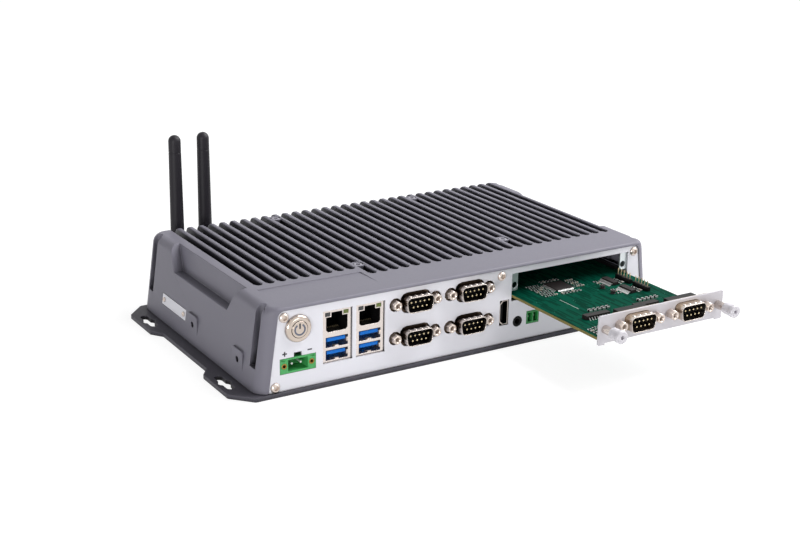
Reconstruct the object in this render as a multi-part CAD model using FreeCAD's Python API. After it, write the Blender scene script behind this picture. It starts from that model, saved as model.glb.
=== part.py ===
import FreeCAD, Part

import math
import os

from FreeCAD import Vector

# Fanless industrial mini computer: a die-cast finned housing on a flanged base plate, with a sheet-metal
# front panel, a slide-out serial card and two hinged antennas. Millimetres, +Z up, the front faces -Y,
# and the origin is the centre of the base plate's underside. The card is modelled drawn out of its bay.

# Base plate with four mounting lobes
base_flange = 11.7
base_margin = 0.6
base_thickness = 2.5
lobe_length = 30.0
lobe_inset = 26.5
lobe_reach = 5.0
lobe_ramp = 7.0
base_corner_cut = 10.5
base_corner_round = 2.0
keyhole_length = 19.0
keyhole_slot_width = 4.2
keyhole_eye = 7.2
keyhole_inset = 5.3

# Die-cast housing
housing_width = 259.6
housing_depth = 154.8
housing_height = 45.5
side_lean = 0.14
corner_radius = 8.0
crown_radius = 4.5
front_crown = 1.8
crown_steps = 4
side_wall = 4.0
roof_thickness = 2.5
apron_thickness = 2.8

# Cooling fins on the roof
fin_pitch = 6.975
fin_shift = 2.0
fin_slot_width = 4.0
fin_slot_depth = 8.5
fin_crown = 0.8
fin_shoulder = 9.4
apron_depth = 25.3
field_depth = 36.8
field_right = -52.6
field_rim = 5.8
field_sink = 0.6
field_run = 20.0
roof_boss_radius = 4.0
roof_boss_slots = 7
roof_boss_front_gap = 18.05
roof_boss_rear_gap = 10.95

# Pocket along the top of each side
ledge_height = 34.3
ledge_depth = 6.0
ledge_floor = 3.0
pocket_rim = 3.4
pocket_centre_y = 2.9
pocket_foot_length = 70.5
pocket_top_length = 89.5

# Screw wells at the four corners, and the tapped side pads
well_radius = 3.0
well_inset_y = 9.8
well_inset_x = 5.5
well_floor = 15.0
pad_width = 12.5
pad_top = 20.0
pad_fade_height = 9.0
pad_round = 2.0
pad_front_gap = 25.9
pad_pitch = 57.5
pad_hole_height = 14.0
pad_hole_radius = 1.65
pad_boss_depth = 9.9

# Cover plate of the card-reader slot in the left side
cover_length = 33.0
cover_height = 6.3
cover_thickness = 1.0
cover_centre_y = 33.4
cover_centre_z = 15.6
cover_screw_inset = 2.8
reader_slot_length = 22.0
reader_slot_height = 3.4

# Panels
panel_inset = 0.8
panel_thickness = 1.2
panel_margin = 6.7
panel_top_margin = 2.1
panel_round = 3.5
panel_gap = 0.15
rear_top_drop = 10.0
rear_beam = 4.0
bay_offset = 10.0
panel_screw_edge = 3.3
panel_screw_top = 3.5
panel_screw_low = 2.75
middle_screw_gap = 7.2
screw_boss_radius = 3.2
screw_boss_length = 11.0

# Fasteners
screw_radius = 1.45
screw_hole_gap = 0.15
button_head_radius = 2.6
button_head_height = 1.6
panel_screw_length = 6.5
cap_head_radius = 2.6
cap_head_height = 2.6
roof_screw_sink = 4.0
board_screw_length = 4.5
cover_screw_radius = 0.8
cover_head_radius = 1.4
cover_head_height = 0.6
cover_screw_length = 3.0
socket_share = 0.5
socket_depth_share = 0.6
head_sides = 12
shank_sides = 8
hex_sides = 6
round_steps = 3

# Main board and what stands on it
standoff_height = 6.5
standoff_radius = 3.0
board_thickness = 1.6
board_side_gap = 13.0
board_front_gap = 2.0
board_rear_gap = 16.0
standoff_inset_x = 8.0
standoff_inset_y = 14.0
standoff_middle_x = 4.0
cpu_size = 30.0
cpu_height = 2.0
cpu_x = -20.0
cpu_y = 16.0
spreader_thickness = 2.8
spreader_border = 6.0
spreader_column = 36.0
memory_width = 67.6
memory_depth = 30.0
memory_thickness = 1.2
memory_lift = 3.0
memory_socket_depth = 7.0
memory_socket_height = 5.0
memory_y = -18.0
drive_length = 40.0
drive_width = 22.0
drive_height = 6.0
drive_x = -80.0
drive_y = -9.0
cell_radius = 10.0
cell_height = 3.2
cell_x = -75.0
cell_y = 40.0

# Power button
button_height = 35.4
button_side_gap = 18.9
button_bezel_radius = 7.5
button_bezel_height = 2.2
button_bezel_bevel = 0.7
button_barrel_radius = 5.9
button_barrel_length = 16.0
button_bore_radius = 4.5
button_bore_depth = 12.0
button_cap_gap = 0.08
button_cap_length = 9.0
button_cap_rise = 0.3
button_nut_radius = 7.6
button_nut_height = 3.0

# Power terminal at the left end of the panel
port_gap = 0.2
terminal_side_gap = 12.0
terminal_width = 20.4
terminal_height = 8.2
terminal_base = 11.8
terminal_depth = 12.5
terminal_proud = 0.2
terminal_socket_width = 11.4
terminal_socket_height = 6.2
terminal_socket_depth = 8.5
terminal_notch_width = 4.6
terminal_notch_height = 2.5
terminal_pin_radius = 0.6
terminal_pin_pitch = 5.08
terminal_pin_setback = 2.0
terminal_insert_pitch = 15.8
terminal_insert_radius = 1.5
terminal_insert_bore = 0.9
terminal_insert_depth = 5.0
terminal_slot_width = 2.2
terminal_slot_height = 0.9
terminal_slot_depth = 0.8
terminal_slot_edge = 0.7
terminal_slot_drop = 0.5

# Network and serial-bus stacks
stack_lead = 4.8
stack_width = 16.5
stack_space = 3.2
stack_base = 12.8
stack_drop = 4.6
stack_depth = 20.0
stack_setback = 1.0
stack_face = 0.35
stack_gap = 0.5
jack_width = 13.8
jack_height = 11.8
jack_drop = 0.9
jack_depth = 14.5
jack_wall = 0.6
jack_mouth_height = 8.2
jack_mouth_lift = 0.9
jack_mouth_depth = 13.0
jack_mouth_chamfer = 1.2
jack_key_width = 6.4
jack_key_height = 2.4
jack_lamp_width = 3.0
jack_lamp_height = 2.2
jack_lamp_depth = 5.0
bus_width = 13.1
bus_height = 5.6
bus_low_lift = 0.7
bus_pitch = 7.1
bus_depth = 14.5
bus_tongue_width = 11.0
bus_tongue_height = 1.9
bus_tongue_lift = 2.9
bus_tongue_setback = 1.0
bus_back = 4.0
insert_gap = 0.05

# Nine-way serial ports, on the panel and on the card
serial_lead = 3.9
serial_pitch = 34.8
serial_drop = 8.3
serial_stack_pitch = 18.9
flange_width = 30.8
flange_height = 12.5
flange_thickness = 0.8
shell_width = 18.0
shell_height = 8.9
shell_round = 2.6
shell_wall = 0.45
shell_proud = 6.6
shell_angle = 10.0
shell_clearance = 1.4
serial_body_width = 19.4
serial_body_height = 10.6
serial_body_depth = 6.5
insulator_sink = 5.4
serial_pin_radius = 0.5
serial_pin_pitch = 2.76
serial_row_pitch = 2.84
serial_pin_sink = 0.8
jack_screw_pitch = 25.0
jack_screw_radius = 2.75
jack_screw_length = 5.0
panel_jack_screw_length = 4.3
jack_screw_bore = 1.4
jack_screw_bore_depth = 3.5
jack_screw_tail = 2.5
jack_screw_opening = 3.7
opening_bridge = 3.6

# Video, sound and switch ports
video_lead = 4.6
video_width = 5.9
video_height = 14.5
video_base = 13.3
video_chamfer = 1.9
video_wall = 0.4
video_depth = 11.0
video_setback = 0.4
video_mouth_depth = 8.0
video_tongue_width = 1.4
video_tongue_height = 10.6
video_tongue_length = 6.0
sound_lead = 4.9
sound_height = 13.8
sound_radius = 3.0
sound_bore = 1.8
sound_bore_depth = 11.0
sound_body_width = 6.6
sound_body_depth = 12.0
switch_lead = 6.3
switch_width = 8.4
switch_height = 7.4
switch_base = 11.1
switch_depth = 10.0
switch_socket_width = 2.9
switch_socket_height = 5.2
switch_socket_depth = 6.0
switch_socket_pitch = 3.81

# Card bay, tray and guides
bay_lead = 1.6
bay_right_margin = 7.1
bay_width = 83.17
bay_top_margin = 3.2
bay_height = 16.1
bay_tab_width = 5.0
bay_tab_drop = 10.7
bay_tab_round = 1.2
tray_gauge = 1.0
tray_floor_drop = 2.6
tray_wall_height = 8.0
tray_tab_depth = 1.0
tray_neck = 6.0
tray_rear_gap = 3.3
tray_post_radius = 2.5
tray_post_inset_x = 7.0
tray_post_first = 25.0
tray_post_pitch = 82.0
guide_width = 2.8
guide_height = 5.6
guide_bite = 2.0
guide_gap = 0.25
guide_setback = 6.0

# Slide-out card
card_out = 75.7
card_seat_gap = 0.3
card_lift = 1.8
card_edge_gap = 1.0
card_thickness = 1.6
card_length = 124.0
card_nose_width = 58.0
card_nose_length = 6.0
card_front_gap = 0.3
bracket_overlap = 1.1
bracket_thickness = 1.0
bracket_round = 1.0
bracket_ear_width = 4.5
bracket_ear_height = 0.9
card_port_pitch = 34.5
card_socket_cheek = 3.0
card_socket_height = 8.0
card_socket_depth = 8.0
card_socket_gap = 0.5
riser_thickness = 1.6
riser_rise = 0.4
main_chip_size = 12.0
main_chip_height = 1.2
main_chip_from_left = 31.0
main_chip_from_front = 74.6
driver_width = 4.0
driver_length = 10.5
driver_height = 2.0
driver_from_right = 19.5
driver_from_front = 66.4
driver_pitch = 15.5
header_width = 2.5
header_height = 2.5
header_from_right = 10.17
header_from_front = 65.4
header_pitch = 15.2
header_ways = 5
header_step = 2.54
header_pin_radius = 0.32
header_pin_rise = 3.6
array_width = 16.0
array_depth = 4.0
array_height = 2.2
array_from_front = 26.2
array_shift = 4.5
small_part_size = 1.8
small_part_height = 1.0
small_part_count = 5
small_part_step = 3.0
small_part_from_front = 34.4
small_part_shift = 4.0

# Captive thumbscrews of the card
thumb_inset = 2.785
thumb_height = 35.3
ferrule_radius = 2.25
ferrule_length = 6.0
knob_radius = 3.5
knob_length = 8.0
knob_flutes = 16
knob_flute_radius = 0.35
knob_recess_radius = 1.2
knob_recess_depth = 2.0
thumb_shank_radius = 1.5
thumb_run_gap = 0.08
thumb_tail = 3.5
thumb_gap = 0.3

# Antennas on the rear panel
antenna_height = 25.0
antenna_side_gap = 27.25
antenna_pitch = 18.2
antenna_reach = 16.8
jack_barrel_radius = 3.1
jack_barrel_length = 9.4
jack_body_radius = 4.4
jack_body_length = 4.0
jack_nut_height = 2.0
elbow_radius = 4.5
elbow_start = 2.6
elbow_gap = 0.08
elbow_end_gap = 0.3
ear_radius = 4.2
tongue_thickness = 3.6
tongue_radius = 3.9
tongue_gap = 0.2
hinge_pin_radius = 1.2
hinge_pin_gap = 0.05
hinge_pin_proud = 0.3
whip_length = 74.5
whip_root = 5.2
whip_radius = 4.4
whip_tip_radius = 3.7
whip_tip_flat = 0.15
whip_sides = 24
whip_collar = 8.0
whip_collar_step = 0.25

# Faces and levels worked out from the sizes above
base_length = housing_width + 2 * base_flange
base_depth = housing_depth + 2 * base_margin
lobe_pitch = base_depth - 2 * lobe_inset
top_z = base_thickness + housing_height
front_y = -housing_depth / 2
rear_y = housing_depth / 2
panel_face = front_y + panel_inset
panel_back = panel_face + panel_thickness
rear_face = rear_y - panel_inset
rear_back = rear_face - panel_thickness
panel_top = top_z - panel_top_margin
rear_top = top_z - rear_top_drop
roof_under = top_z - fin_slot_depth - roof_thickness
apron_under = top_z - apron_thickness
slot_front = front_y + apron_depth
field_back = front_y + field_depth
pad_first_y = front_y + pad_front_gap
roof_boss_x = roof_boss_slots * fin_pitch
roof_boss_front = slot_front + roof_boss_front_gap
roof_boss_rear = rear_y - roof_boss_rear_gap
board_under = base_thickness + standoff_height
board_top = board_under + board_thickness
screw_hole = screw_radius + screw_hole_gap
ferrule_bore = thumb_shank_radius + thumb_run_gap
bay_tab_hole = thumb_shank_radius + thumb_gap
overshoot = 1.0
tolerance = 1e-6


def side_half(z):
    """Half the housing's width at a height."""
    return housing_width / 2 - side_lean * (z - base_thickness)


fin_half = side_half(top_z) - fin_shoulder
slot_count = round((2 * fin_half - fin_slot_width) / fin_pitch) + 1
pocket_top_half = fin_half + pocket_rim
pocket_foot_half = side_half(ledge_height) - ledge_depth
well_x = side_half(well_floor) - well_inset_x
well_y = housing_depth / 2 - well_inset_y

# Places along the front panel: the bay and what stands by it from the right end, the rest from the left,
# with as many columns of serial ports between them as there is room for
button_x = -(side_half(button_height) - button_side_gap)
terminal_left = -(side_half(terminal_base) - terminal_side_gap)
stack_first = terminal_left + terminal_width + stack_lead
stack_lefts = [stack_first, stack_first + stack_width + stack_space]
stack_top = panel_top - stack_drop
serial_first = stack_lefts[1] + stack_width + serial_lead + flange_width / 2
serial_top = panel_top - serial_drop
bay_top = panel_top - bay_top_margin
bay_low = bay_top - bay_height
bay_right = side_half(bay_top) - panel_margin - bay_right_margin
bay_left = bay_right - bay_width
bay_middle = (bay_left + bay_right) / 2
video_left = bay_left - bay_lead - video_width
serial_columns = int((video_left - video_lead - serial_first - flange_width / 2) / serial_pitch) + 1
serial_places = []
for column in range(serial_columns):
    for row in range(2):
        serial_places.append((serial_first + column * serial_pitch, serial_top - row * serial_stack_pitch))
sound_x = bay_left + sound_lead
switch_left = sound_x + switch_lead

# Places on the slide-out card, drawn out to its rest position
bracket_back = panel_face - card_seat_gap - card_out
bracket_face = bracket_back - bracket_thickness
card_low = bay_low + card_lift
card_top = card_low + card_thickness
card_left = bay_left + card_edge_gap
card_right = bay_right - card_edge_gap
card_front = bracket_back + card_front_gap
card_rear = card_front + card_length
card_port_z = card_top + flange_height / 2
card_port_xs = [bay_middle - card_port_pitch / 2, bay_middle + card_port_pitch / 2]
card_socket_width = card_nose_width + 2 * card_socket_cheek
card_socket_front = card_rear + card_out + card_socket_gap - card_nose_length + overshoot
tray_rear = card_socket_front - tray_rear_gap
main_chip_x = card_left + main_chip_from_left
driver_x = card_right - driver_from_right
header_x = card_right - header_from_right
thumb_xs = [bay_left + thumb_inset, bay_right - thumb_inset]
antenna_first_x = antenna_side_gap - side_half(antenna_height)
antenna_xs = [antenna_first_x, antenna_first_x + antenna_pitch]
hinge_y = rear_face + antenna_reach


def box(x0, x1, y0, y1, z0, z1):
    """Block between two corners."""
    return Part.makeBox(x1 - x0, y1 - y0, z1 - z0, Vector(x0, y0, z0))


def rod(radius, start, end):
    """Round bar between two points."""
    run = end.sub(start)
    return Part.makeCylinder(radius, run.Length, start, run)


def rod_y(radius, x, z, y0, y1):
    """Round bar along Y."""
    return rod(radius, Vector(x, y0, z), Vector(x, y1, z))


def rod_z(radius, x, y, z0, z1):
    """Round bar along Z."""
    return rod(radius, Vector(x, y, z0), Vector(x, y, z1))


def prism(points, run):
    """Closed outline pushed along a vector."""
    return Part.Face(Part.makePolygon(points + [points[0]])).extrude(run)


def prism_y(points, y0, y1):
    """Outline in X and Z, pushed along Y."""
    return prism([Vector(x, y0, z) for x, z in points], Vector(0, y1 - y0, 0))


def prism_x(points, x0, x1):
    """Outline in Y and Z, pushed along X."""
    return prism([Vector(x0, y, z) for y, z in points], Vector(x1 - x0, 0, 0))


def prism_z(points, z0, z1):
    """Outline in X and Y, pushed along Z."""
    return prism([Vector(x, y, z0) for x, y in points], Vector(0, 0, z1 - z0))


def bar(sides, radius, start, end):
    """Many-sided bar between two points, its corners at the radius."""
    run = end.sub(start)
    across = Vector(0, 0, 1) if abs(run.z) < tolerance else Vector(1, 0, 0)
    other = run.cross(across).normalize()
    corners = []
    for step in range(sides):
        angle = 2 * math.pi * (step + 0.5) / sides
        corners.append(start + across * (radius * math.cos(angle)) + other * (radius * math.sin(angle)))
    return prism(corners, run)


def drill(sides, radius, start, end):
    """Cutter for a plain hole with few sides, its flats at the radius."""
    return bar(sides, radius / math.cos(math.pi / sides), start, end)


def drill_y(radius, x, z, y0, y1):
    """Cutter for a screw hole along Y."""
    return drill(shank_sides, radius, Vector(x, y0, z), Vector(x, y1, z))


def drill_z(radius, x, y, z0, z1):
    """Cutter for a screw hole along Z."""
    return drill(shank_sides, radius, Vector(x, y, z0), Vector(x, y, z1))


def rounded(corners, radius, steps=round_steps):
    """Outline of flat points whose corners are rounded in a few steps."""
    outline = []
    for index, (x, y) in enumerate(corners):
        before = Vector(corners[index - 1][0] - x, corners[index - 1][1] - y, 0).normalize()
        after_x, after_y = corners[(index + 1) % len(corners)]
        after = Vector(after_x - x, after_y - y, 0).normalize()
        half = before.getAngle(after) / 2
        middle = (before + after).normalize()
        centre = Vector(x, y, 0) + middle * (radius / math.sin(half))
        start = Vector(x, y, 0) + before * (radius / math.tan(half)) - centre
        end = Vector(x, y, 0) + after * (radius / math.tan(half)) - centre
        sweep = start.getAngle(end)
        for step in range(steps + 1):
            share = sweep * step / steps
            spoke = start * math.sin(sweep - share) + end * math.sin(share)
            point = centre + spoke * (1 / math.sin(sweep))
            outline.append((point.x, point.y))
    return outline


def join(shapes):
    """One solid from several that meet."""
    return shapes[0].multiFuse(shapes[1:]).removeSplitter() if len(shapes) > 1 else shapes[0]


def along(shape, direction):
    """Straight edges of a shape that run along a direction."""
    found = []
    for edge in shape.Edges:
        run = edge.Vertexes[-1].Point.sub(edge.Vertexes[0].Point)
        if run.Length > tolerance and run.cross(direction).Length < tolerance * run.Length:
            found.append(edge)
    return found


def mirrored(shape):
    """The same shape on the other side of the middle plane."""
    return shape.mirror(Vector(0, 0, 0), Vector(1, 0, 0))


def flank(offset, z0, z1):
    """Four-sided outline whose ends follow the housing's leaning sides, set in by an offset."""
    low = side_half(z0) - offset
    high = side_half(z1) - offset
    return [(-low, z0), (low, z0), (high, z1), (-high, z1)]


def stacked(rings):
    """Solid with flat sides between level outlines, one over another, that have as many corners each."""
    faces = [Part.Face(Part.makePolygon(ring + [ring[0]])) for ring in (rings[0], rings[-1])]
    for low, high in zip(rings, rings[1:]):
        for index in range(len(low)):
            corners = [low[index - 1], low[index], high[index], high[index - 1], low[index - 1]]
            faces.append(Part.Face(Part.makePolygon(corners)))
    return Part.makeSolid(Part.makeShell(faces)).removeSplitter()


def screw(seat, inward, head_radius, head_height, shank_radius, shank_length):
    """Socket screw whose head sits on a seat, with its shank going inward."""
    crown = seat - inward * head_height
    head = bar(head_sides, head_radius, seat, crown)
    shank = bar(shank_sides, shank_radius, seat, seat + inward * shank_length)
    socket_end = crown + inward * (head_height * socket_depth_share)
    socket = bar(hex_sides, head_radius * socket_share, crown, socket_end)
    return head.fuse(shank).cut(socket)


def front_screw_places():
    """Middle of each front-panel screw, in X and Z."""
    high = panel_top - panel_screw_top
    low = base_thickness + panel_screw_low
    high_x = side_half(high) - panel_margin - panel_screw_edge
    low_x = side_half(low) - panel_margin - panel_screw_edge
    middle_x = bay_left - middle_screw_gap
    return [(-high_x, high), (middle_x, high), (high_x, high), (-low_x, low), (low_x, low)]


def rear_screw_places():
    """Middle of each rear-panel screw, in X and Z."""
    high = rear_top - panel_screw_top
    low = base_thickness + panel_screw_low
    high_x = side_half(high) - panel_margin - panel_screw_edge
    low_x = side_half(low) - panel_margin - panel_screw_edge
    return [(-high_x, high), (high_x, high), (-low_x, low), (low_x, low)]


def well_places():
    """Axis of each corner screw well, in X and Y."""
    return [(side * well_x, end * well_y) for side in (-1, 1) for end in (-1, 1)]


def roof_boss_places():
    """Axis of each screw boss among the fins, in X and Y."""
    xs = (fin_shift - roof_boss_x, fin_shift + roof_boss_x)
    return [(x, y) for x in xs for y in (roof_boss_front, roof_boss_rear)]


def base_plate():
    """Flat plate with four lobes, each with a double-ended keyhole."""
    reach = base_length / 2
    half = base_depth / 2
    outer = lobe_pitch / 2 + lobe_length / 2
    inner = lobe_pitch / 2 - lobe_length / 2
    quarter = [
        (reach - base_corner_cut, half),
        (reach, outer),
        (reach, inner),
        (reach - lobe_reach, inner - lobe_ramp),
    ]
    right = [(x, -y) for x, y in quarter] + [(x, y) for x, y in reversed(quarter)]
    left = [(-x, y) for x, y in reversed(right)]
    plate = prism_z(rounded(right + left, base_corner_round), 0, base_thickness)
    below = -overshoot
    above = base_thickness + overshoot
    cuts = []
    slot = keyhole_slot_width / 2
    run = keyhole_length / 2 - slot
    for side in (-1, 1):
        for end in (-1, 1):
            x = side * (reach - keyhole_inset)
            y = end * lobe_pitch / 2
            cuts.append(rod_z(keyhole_eye / 2, x, y, below, above))
            cuts.append(box(x - slot, x + slot, y - run, y + run, below, above))
            for tip in (-run, run):
                cuts.append(rod_z(slot, x, y + tip, below, above))
    for x, y in well_places():
        cuts.append(drill_z(screw_hole, x, y, below, above))
    return plate.cut(cuts)


def housing_ring(inset, z):
    """Level outline of the housing at a height, set in by the round of its top edge."""
    half = side_half(z) - inset
    rise = max(0, z - (top_z - front_crown))
    front = front_y + front_crown - math.sqrt(front_crown ** 2 - rise ** 2)
    rear = rear_y - inset
    corners = [(half, front), (half, rear), (-half, rear), (-half, front)]
    return [Vector(x, y, z) for x, y in rounded(corners, corner_radius - inset, crown_steps)]


def housing_block():
    """Outer form of the housing: leaning sides, round corners and a round top edge."""
    rings = [housing_ring(0, base_thickness)]
    for step in range(crown_steps + 1):
        angle = math.pi / 2 * step / crown_steps
        drop = crown_radius * (1 - math.sin(angle))
        rings.append(housing_ring(crown_radius * (1 - math.cos(angle)), top_z - drop))
    return stacked(rings)


def fin_slot(x, y_front):
    """Cutters for one gap between two fins: a slot round at its front end, and lips on the fins' tops."""
    half = fin_slot_width / 2
    shoulder = top_z - fin_crown
    lip = half + fin_crown
    rise = fin_crown * math.sqrt(0.5)
    above = top_z + overshoot
    rear = rear_y + overshoot
    plan = [(x + half, rear), (x - half, rear)]
    for step in range(2 * round_steps + 1):
        angle = math.pi * (1 + step / (2 * round_steps))
        plan.append((x + half * math.cos(angle), y_front + half * math.sin(angle)))
    right = [(half, shoulder), (lip - rise, shoulder + rise), (lip, top_z), (lip, above)]
    lips = [(x + offset, z) for offset, z in right] + [(x - offset, z) for offset, z in reversed(right)]
    return [prism_z(plan, top_z - fin_slot_depth, above), prism_y(lips, y_front, rear)]


def fin_slots():
    """All the gaps between the fins: those behind the apron's sunk field start further back."""
    cutters = []
    for index in range(slot_count):
        x = fin_shift + (index - (slot_count - 1) / 2) * fin_pitch
        start = field_back if x < field_right else slot_front
        cutters += fin_slot(x, start + fin_slot_width / 2)
    return cutters


def apron_field():
    """Cutter for the shallow field on the apron's left half, which slopes up to nothing at its front."""
    back = field_back - field_rim
    front = back - field_run
    above = top_z + overshoot
    wedge = [(front, top_z), (back, top_z - field_sink), (back, above), (front, above)]
    return prism_x(wedge, -fin_half, field_right)


def side_pocket():
    """Cutter for the long pocket at the top of the right side: a level ledge and slanting ends."""
    foot = pocket_foot_length / 2
    top = pocket_top_length / 2
    above = top_z + overshoot
    outside = side_half(base_thickness) + overshoot
    ends = [
        (pocket_centre_y - foot, ledge_height),
        (pocket_centre_y + foot, ledge_height),
        (pocket_centre_y + top, above),
        (pocket_centre_y - top, above),
    ]
    wall = [
        (pocket_foot_half, ledge_height),
        (outside, ledge_height),
        (outside, above),
        (pocket_top_half, above),
    ]
    long_run = prism_y(wall, front_y, rear_y)
    return prism_x(ends, pocket_top_half - overshoot, outside).common(long_run)


def screw_well(x, y):
    """Cutter for an upright well that opens through the side, and its screw hole."""
    outside = math.copysign(side_half(base_thickness) + overshoot, x)
    above = top_z + overshoot
    well = drill(head_sides, well_radius, Vector(x, y, well_floor), Vector(x, y, above))
    mouth = box(min(x, outside), max(x, outside), y - well_radius, y + well_radius, well_floor, above)
    hole = drill_z(screw_hole, x, y, base_thickness - overshoot, well_floor + overshoot)
    return well.fuse(mouth).fuse(hole)


def side_pad(y):
    """Upright tapped pad on the right side, which fades into the leaning wall at its foot."""
    face = side_half(pad_fade_height)
    root = face - pad_boss_depth
    half = pad_width / 2
    pad = box(side_half(pad_top) - side_wall / 2, face, y - half, y + half, base_thickness, pad_top)
    tops = [edge for edge in along(pad, Vector(1, 0, 0)) if edge.CenterOfMass.z > pad_top - tolerance]
    pad = pad.makeFillet(pad_round, tops)
    boss_half = half - pad_round
    boss = box(root, face - pad_round, y - boss_half, y + boss_half, base_thickness, pad_top)
    return pad.fuse(boss)


def side_hole(y):
    """Cutter for the tapped hole in a side pad."""
    face = side_half(pad_fade_height)
    start = Vector(face - pad_boss_depth - overshoot, y, pad_hole_height)
    return rod(pad_hole_radius, start, Vector(face + overshoot, y, pad_hole_height))


def on_left_wall(shape):
    """Shape made about the origin with -X outward, laid on the left wall at the cover plate's place."""
    placed = shape.copy()
    placed.rotate(Vector(0, 0, 0), Vector(0, 1, 0), math.degrees(math.atan(side_lean)))
    placed.translate(Vector(-side_half(cover_centre_z), cover_centre_y, cover_centre_z))
    return placed


def cover_screw_ys():
    """Offsets of the cover plate's two screws from its middle."""
    reach = cover_length / 2 - cover_screw_inset
    return [-reach, reach]


def reader_cuts():
    """Cutters in the left wall: a seat for the cover plate, the slot behind it and two screw holes."""
    half = cover_length / 2 + panel_gap
    tall = cover_height / 2 + panel_gap
    slot = reader_slot_length / 2
    thin = reader_slot_height / 2
    seat = box(-overshoot, cover_thickness, -half, half, -tall, tall)
    slot = box(0, side_wall + 2 * overshoot, -slot, slot, -thin, thin)
    cuts = [on_left_wall(seat), on_left_wall(slot)]
    for y in cover_screw_ys():
        tip = Vector(cover_screw_length + overshoot, y, 0)
        hole = drill(shank_sides, cover_screw_radius + insert_gap, Vector(0, y, 0), tip)
        cuts.append(on_left_wall(hole))
    return cuts


def panel_outline_cut(top, y0, y1):
    """Cutter for the seat of a panel in the housing's end."""
    seat = prism_y(flank(panel_margin - panel_gap, base_thickness - overshoot, top + panel_gap), y0, y1)
    corners = [edge for edge in along(seat, Vector(0, 1, 0)) if edge.CenterOfMass.z > top]
    return seat.makeFillet(panel_round, corners)


def housing_hollow():
    """Cutters for the inside: front bay, main space under the fins, rear opening and the panel seats."""
    floor = base_thickness - overshoot
    bay_end = slot_front - roof_thickness
    main = well_y - well_radius - side_wall
    rear_half = side_half(rear_top) - panel_margin - 2 * panel_screw_edge
    spreader_x = fin_shift + roof_boss_x + spreader_border + overshoot
    spreader_y = roof_boss_rear + spreader_border + overshoot
    return [
        prism_y(flank(bay_offset, floor, apron_under), front_y, bay_end),
        prism_y(flank(side_wall, floor, ledge_height - ledge_floor), -main, main),
        box(-fin_half, fin_half, -main, main, floor, roof_under),
        box(-rear_half, rear_half, 0, rear_y, floor, rear_top - rear_beam),
        box(-spreader_x, spreader_x, 0, spreader_y, floor, roof_under),
        panel_outline_cut(panel_top, front_y - overshoot, panel_back),
        panel_outline_cut(rear_top, rear_back, rear_y + overshoot),
    ]


def front_bosses():
    """Bosses behind the front panel that its screws go into."""
    bosses = []
    end = panel_back + screw_boss_length
    for x, z in front_screw_places():
        low = max(base_thickness, z - screw_boss_radius)
        if z < panel_top / 2:
            half = screw_boss_radius
            bosses.append(box(x - half, x + half, panel_back, end, low, z + half))
        else:
            bosses.append(bar(head_sides, screw_boss_radius, Vector(x, panel_back, z), Vector(x, end, z)))
    return bosses


def housing():
    """Die-cast shell: finned roof, side pockets, corner wells, tapped pads, open ends and open underside."""
    shell = housing_block()
    pads = []
    cuts = [side_pocket(), mirrored(side_pocket())]
    for y in (pad_first_y, pad_first_y + pad_pitch):
        pads += [side_pad(y), mirrored(side_pad(y))]
        cuts += [side_hole(y), mirrored(side_hole(y))]
    shell = shell.cut(housing_hollow())
    bosses = []
    roof_holes = []
    for x, y in roof_boss_places():
        floor = Vector(x, y, top_z - fin_slot_depth - overshoot)
        bosses.append(bar(head_sides, roof_boss_radius, floor, Vector(x, y, top_z)))
        roof_holes.append(drill_z(screw_hole, x, y, roof_under - overshoot, top_z))
        seat = Vector(x, y, top_z - roof_screw_sink)
        mouth = Vector(x, y, top_z + overshoot)
        roof_holes.append(drill(head_sides, cap_head_radius + screw_hole_gap, seat, mouth))
    for x, y in well_places():
        cuts.append(screw_well(x, y))
    for x, z in front_screw_places():
        cuts.append(drill_y(screw_hole, x, z, front_y, panel_back + panel_screw_length))
    for x, z in rear_screw_places():
        cuts.append(drill_y(screw_hole, x, z, rear_back - panel_screw_length, rear_y))
    shell = shell.cut(fin_slots() + [apron_field()])
    shell = shell.multiFuse(pads + front_bosses() + bosses)
    return shell.cut(cuts + reader_cuts() + roof_holes).removeSplitter()


def serial_outline(x, z, width, height):
    """Corners of a nine-way port's face, its long side up."""
    slope = height * math.tan(math.radians(shell_angle))
    top = z + height / 2
    low = z - height / 2
    return [
        (x - width / 2, top),
        (x + width / 2, top),
        (x + width / 2 - slope, low),
        (x - width / 2 + slope, low),
    ]


def serial_tube(x, z, grow, y0, y1):
    """Round-cornered prism of a nine-way port's face, larger all round by a margin."""
    corners = serial_outline(x, z, shell_width + 2 * grow, shell_height + 2 * grow)
    return prism_y(rounded(corners, shell_round + grow), y0, y1)


def serial_panel_cuts(x, z):
    """Cutters for a port that stands clear in the front panel: its face, two jack screws and the bridge."""
    y0 = panel_face - overshoot
    y1 = panel_back + overshoot
    reach = jack_screw_pitch / 2
    bridge = opening_bridge / 2
    cuts = [serial_tube(x, z, shell_clearance, y0, y1)]
    cuts.append(box(x - reach, x + reach, y0, y1, z - bridge, z + bridge))
    for side in (-reach, reach):
        cuts.append(drill(head_sides, jack_screw_opening, Vector(x + side, y0, z), Vector(x + side, y1, z)))
    return cuts


def serial_shell(x, z, seat):
    """Plated shell of a nine-way port: a flange whose front is the seat, and a tube that stands out of it."""
    back = seat + flange_thickness
    half = flange_width / 2
    tall = flange_height / 2
    plate = box(x - half, x + half, seat, back, z - tall, z + tall)
    tube = serial_tube(x, z, 0, seat - shell_proud, back)
    mouth = serial_tube(x, z, -shell_wall, seat - shell_proud - overshoot, back + overshoot)
    holes = []
    for side in (-0.5, 0.5):
        hole_x = x + side * jack_screw_pitch
        hole_radius = jack_screw_bore + screw_hole_gap
        holes.append(drill_y(hole_radius, hole_x, z, seat - overshoot, back + overshoot))
    return plate.fuse(tube).cut([mouth] + holes).removeSplitter()


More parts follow.
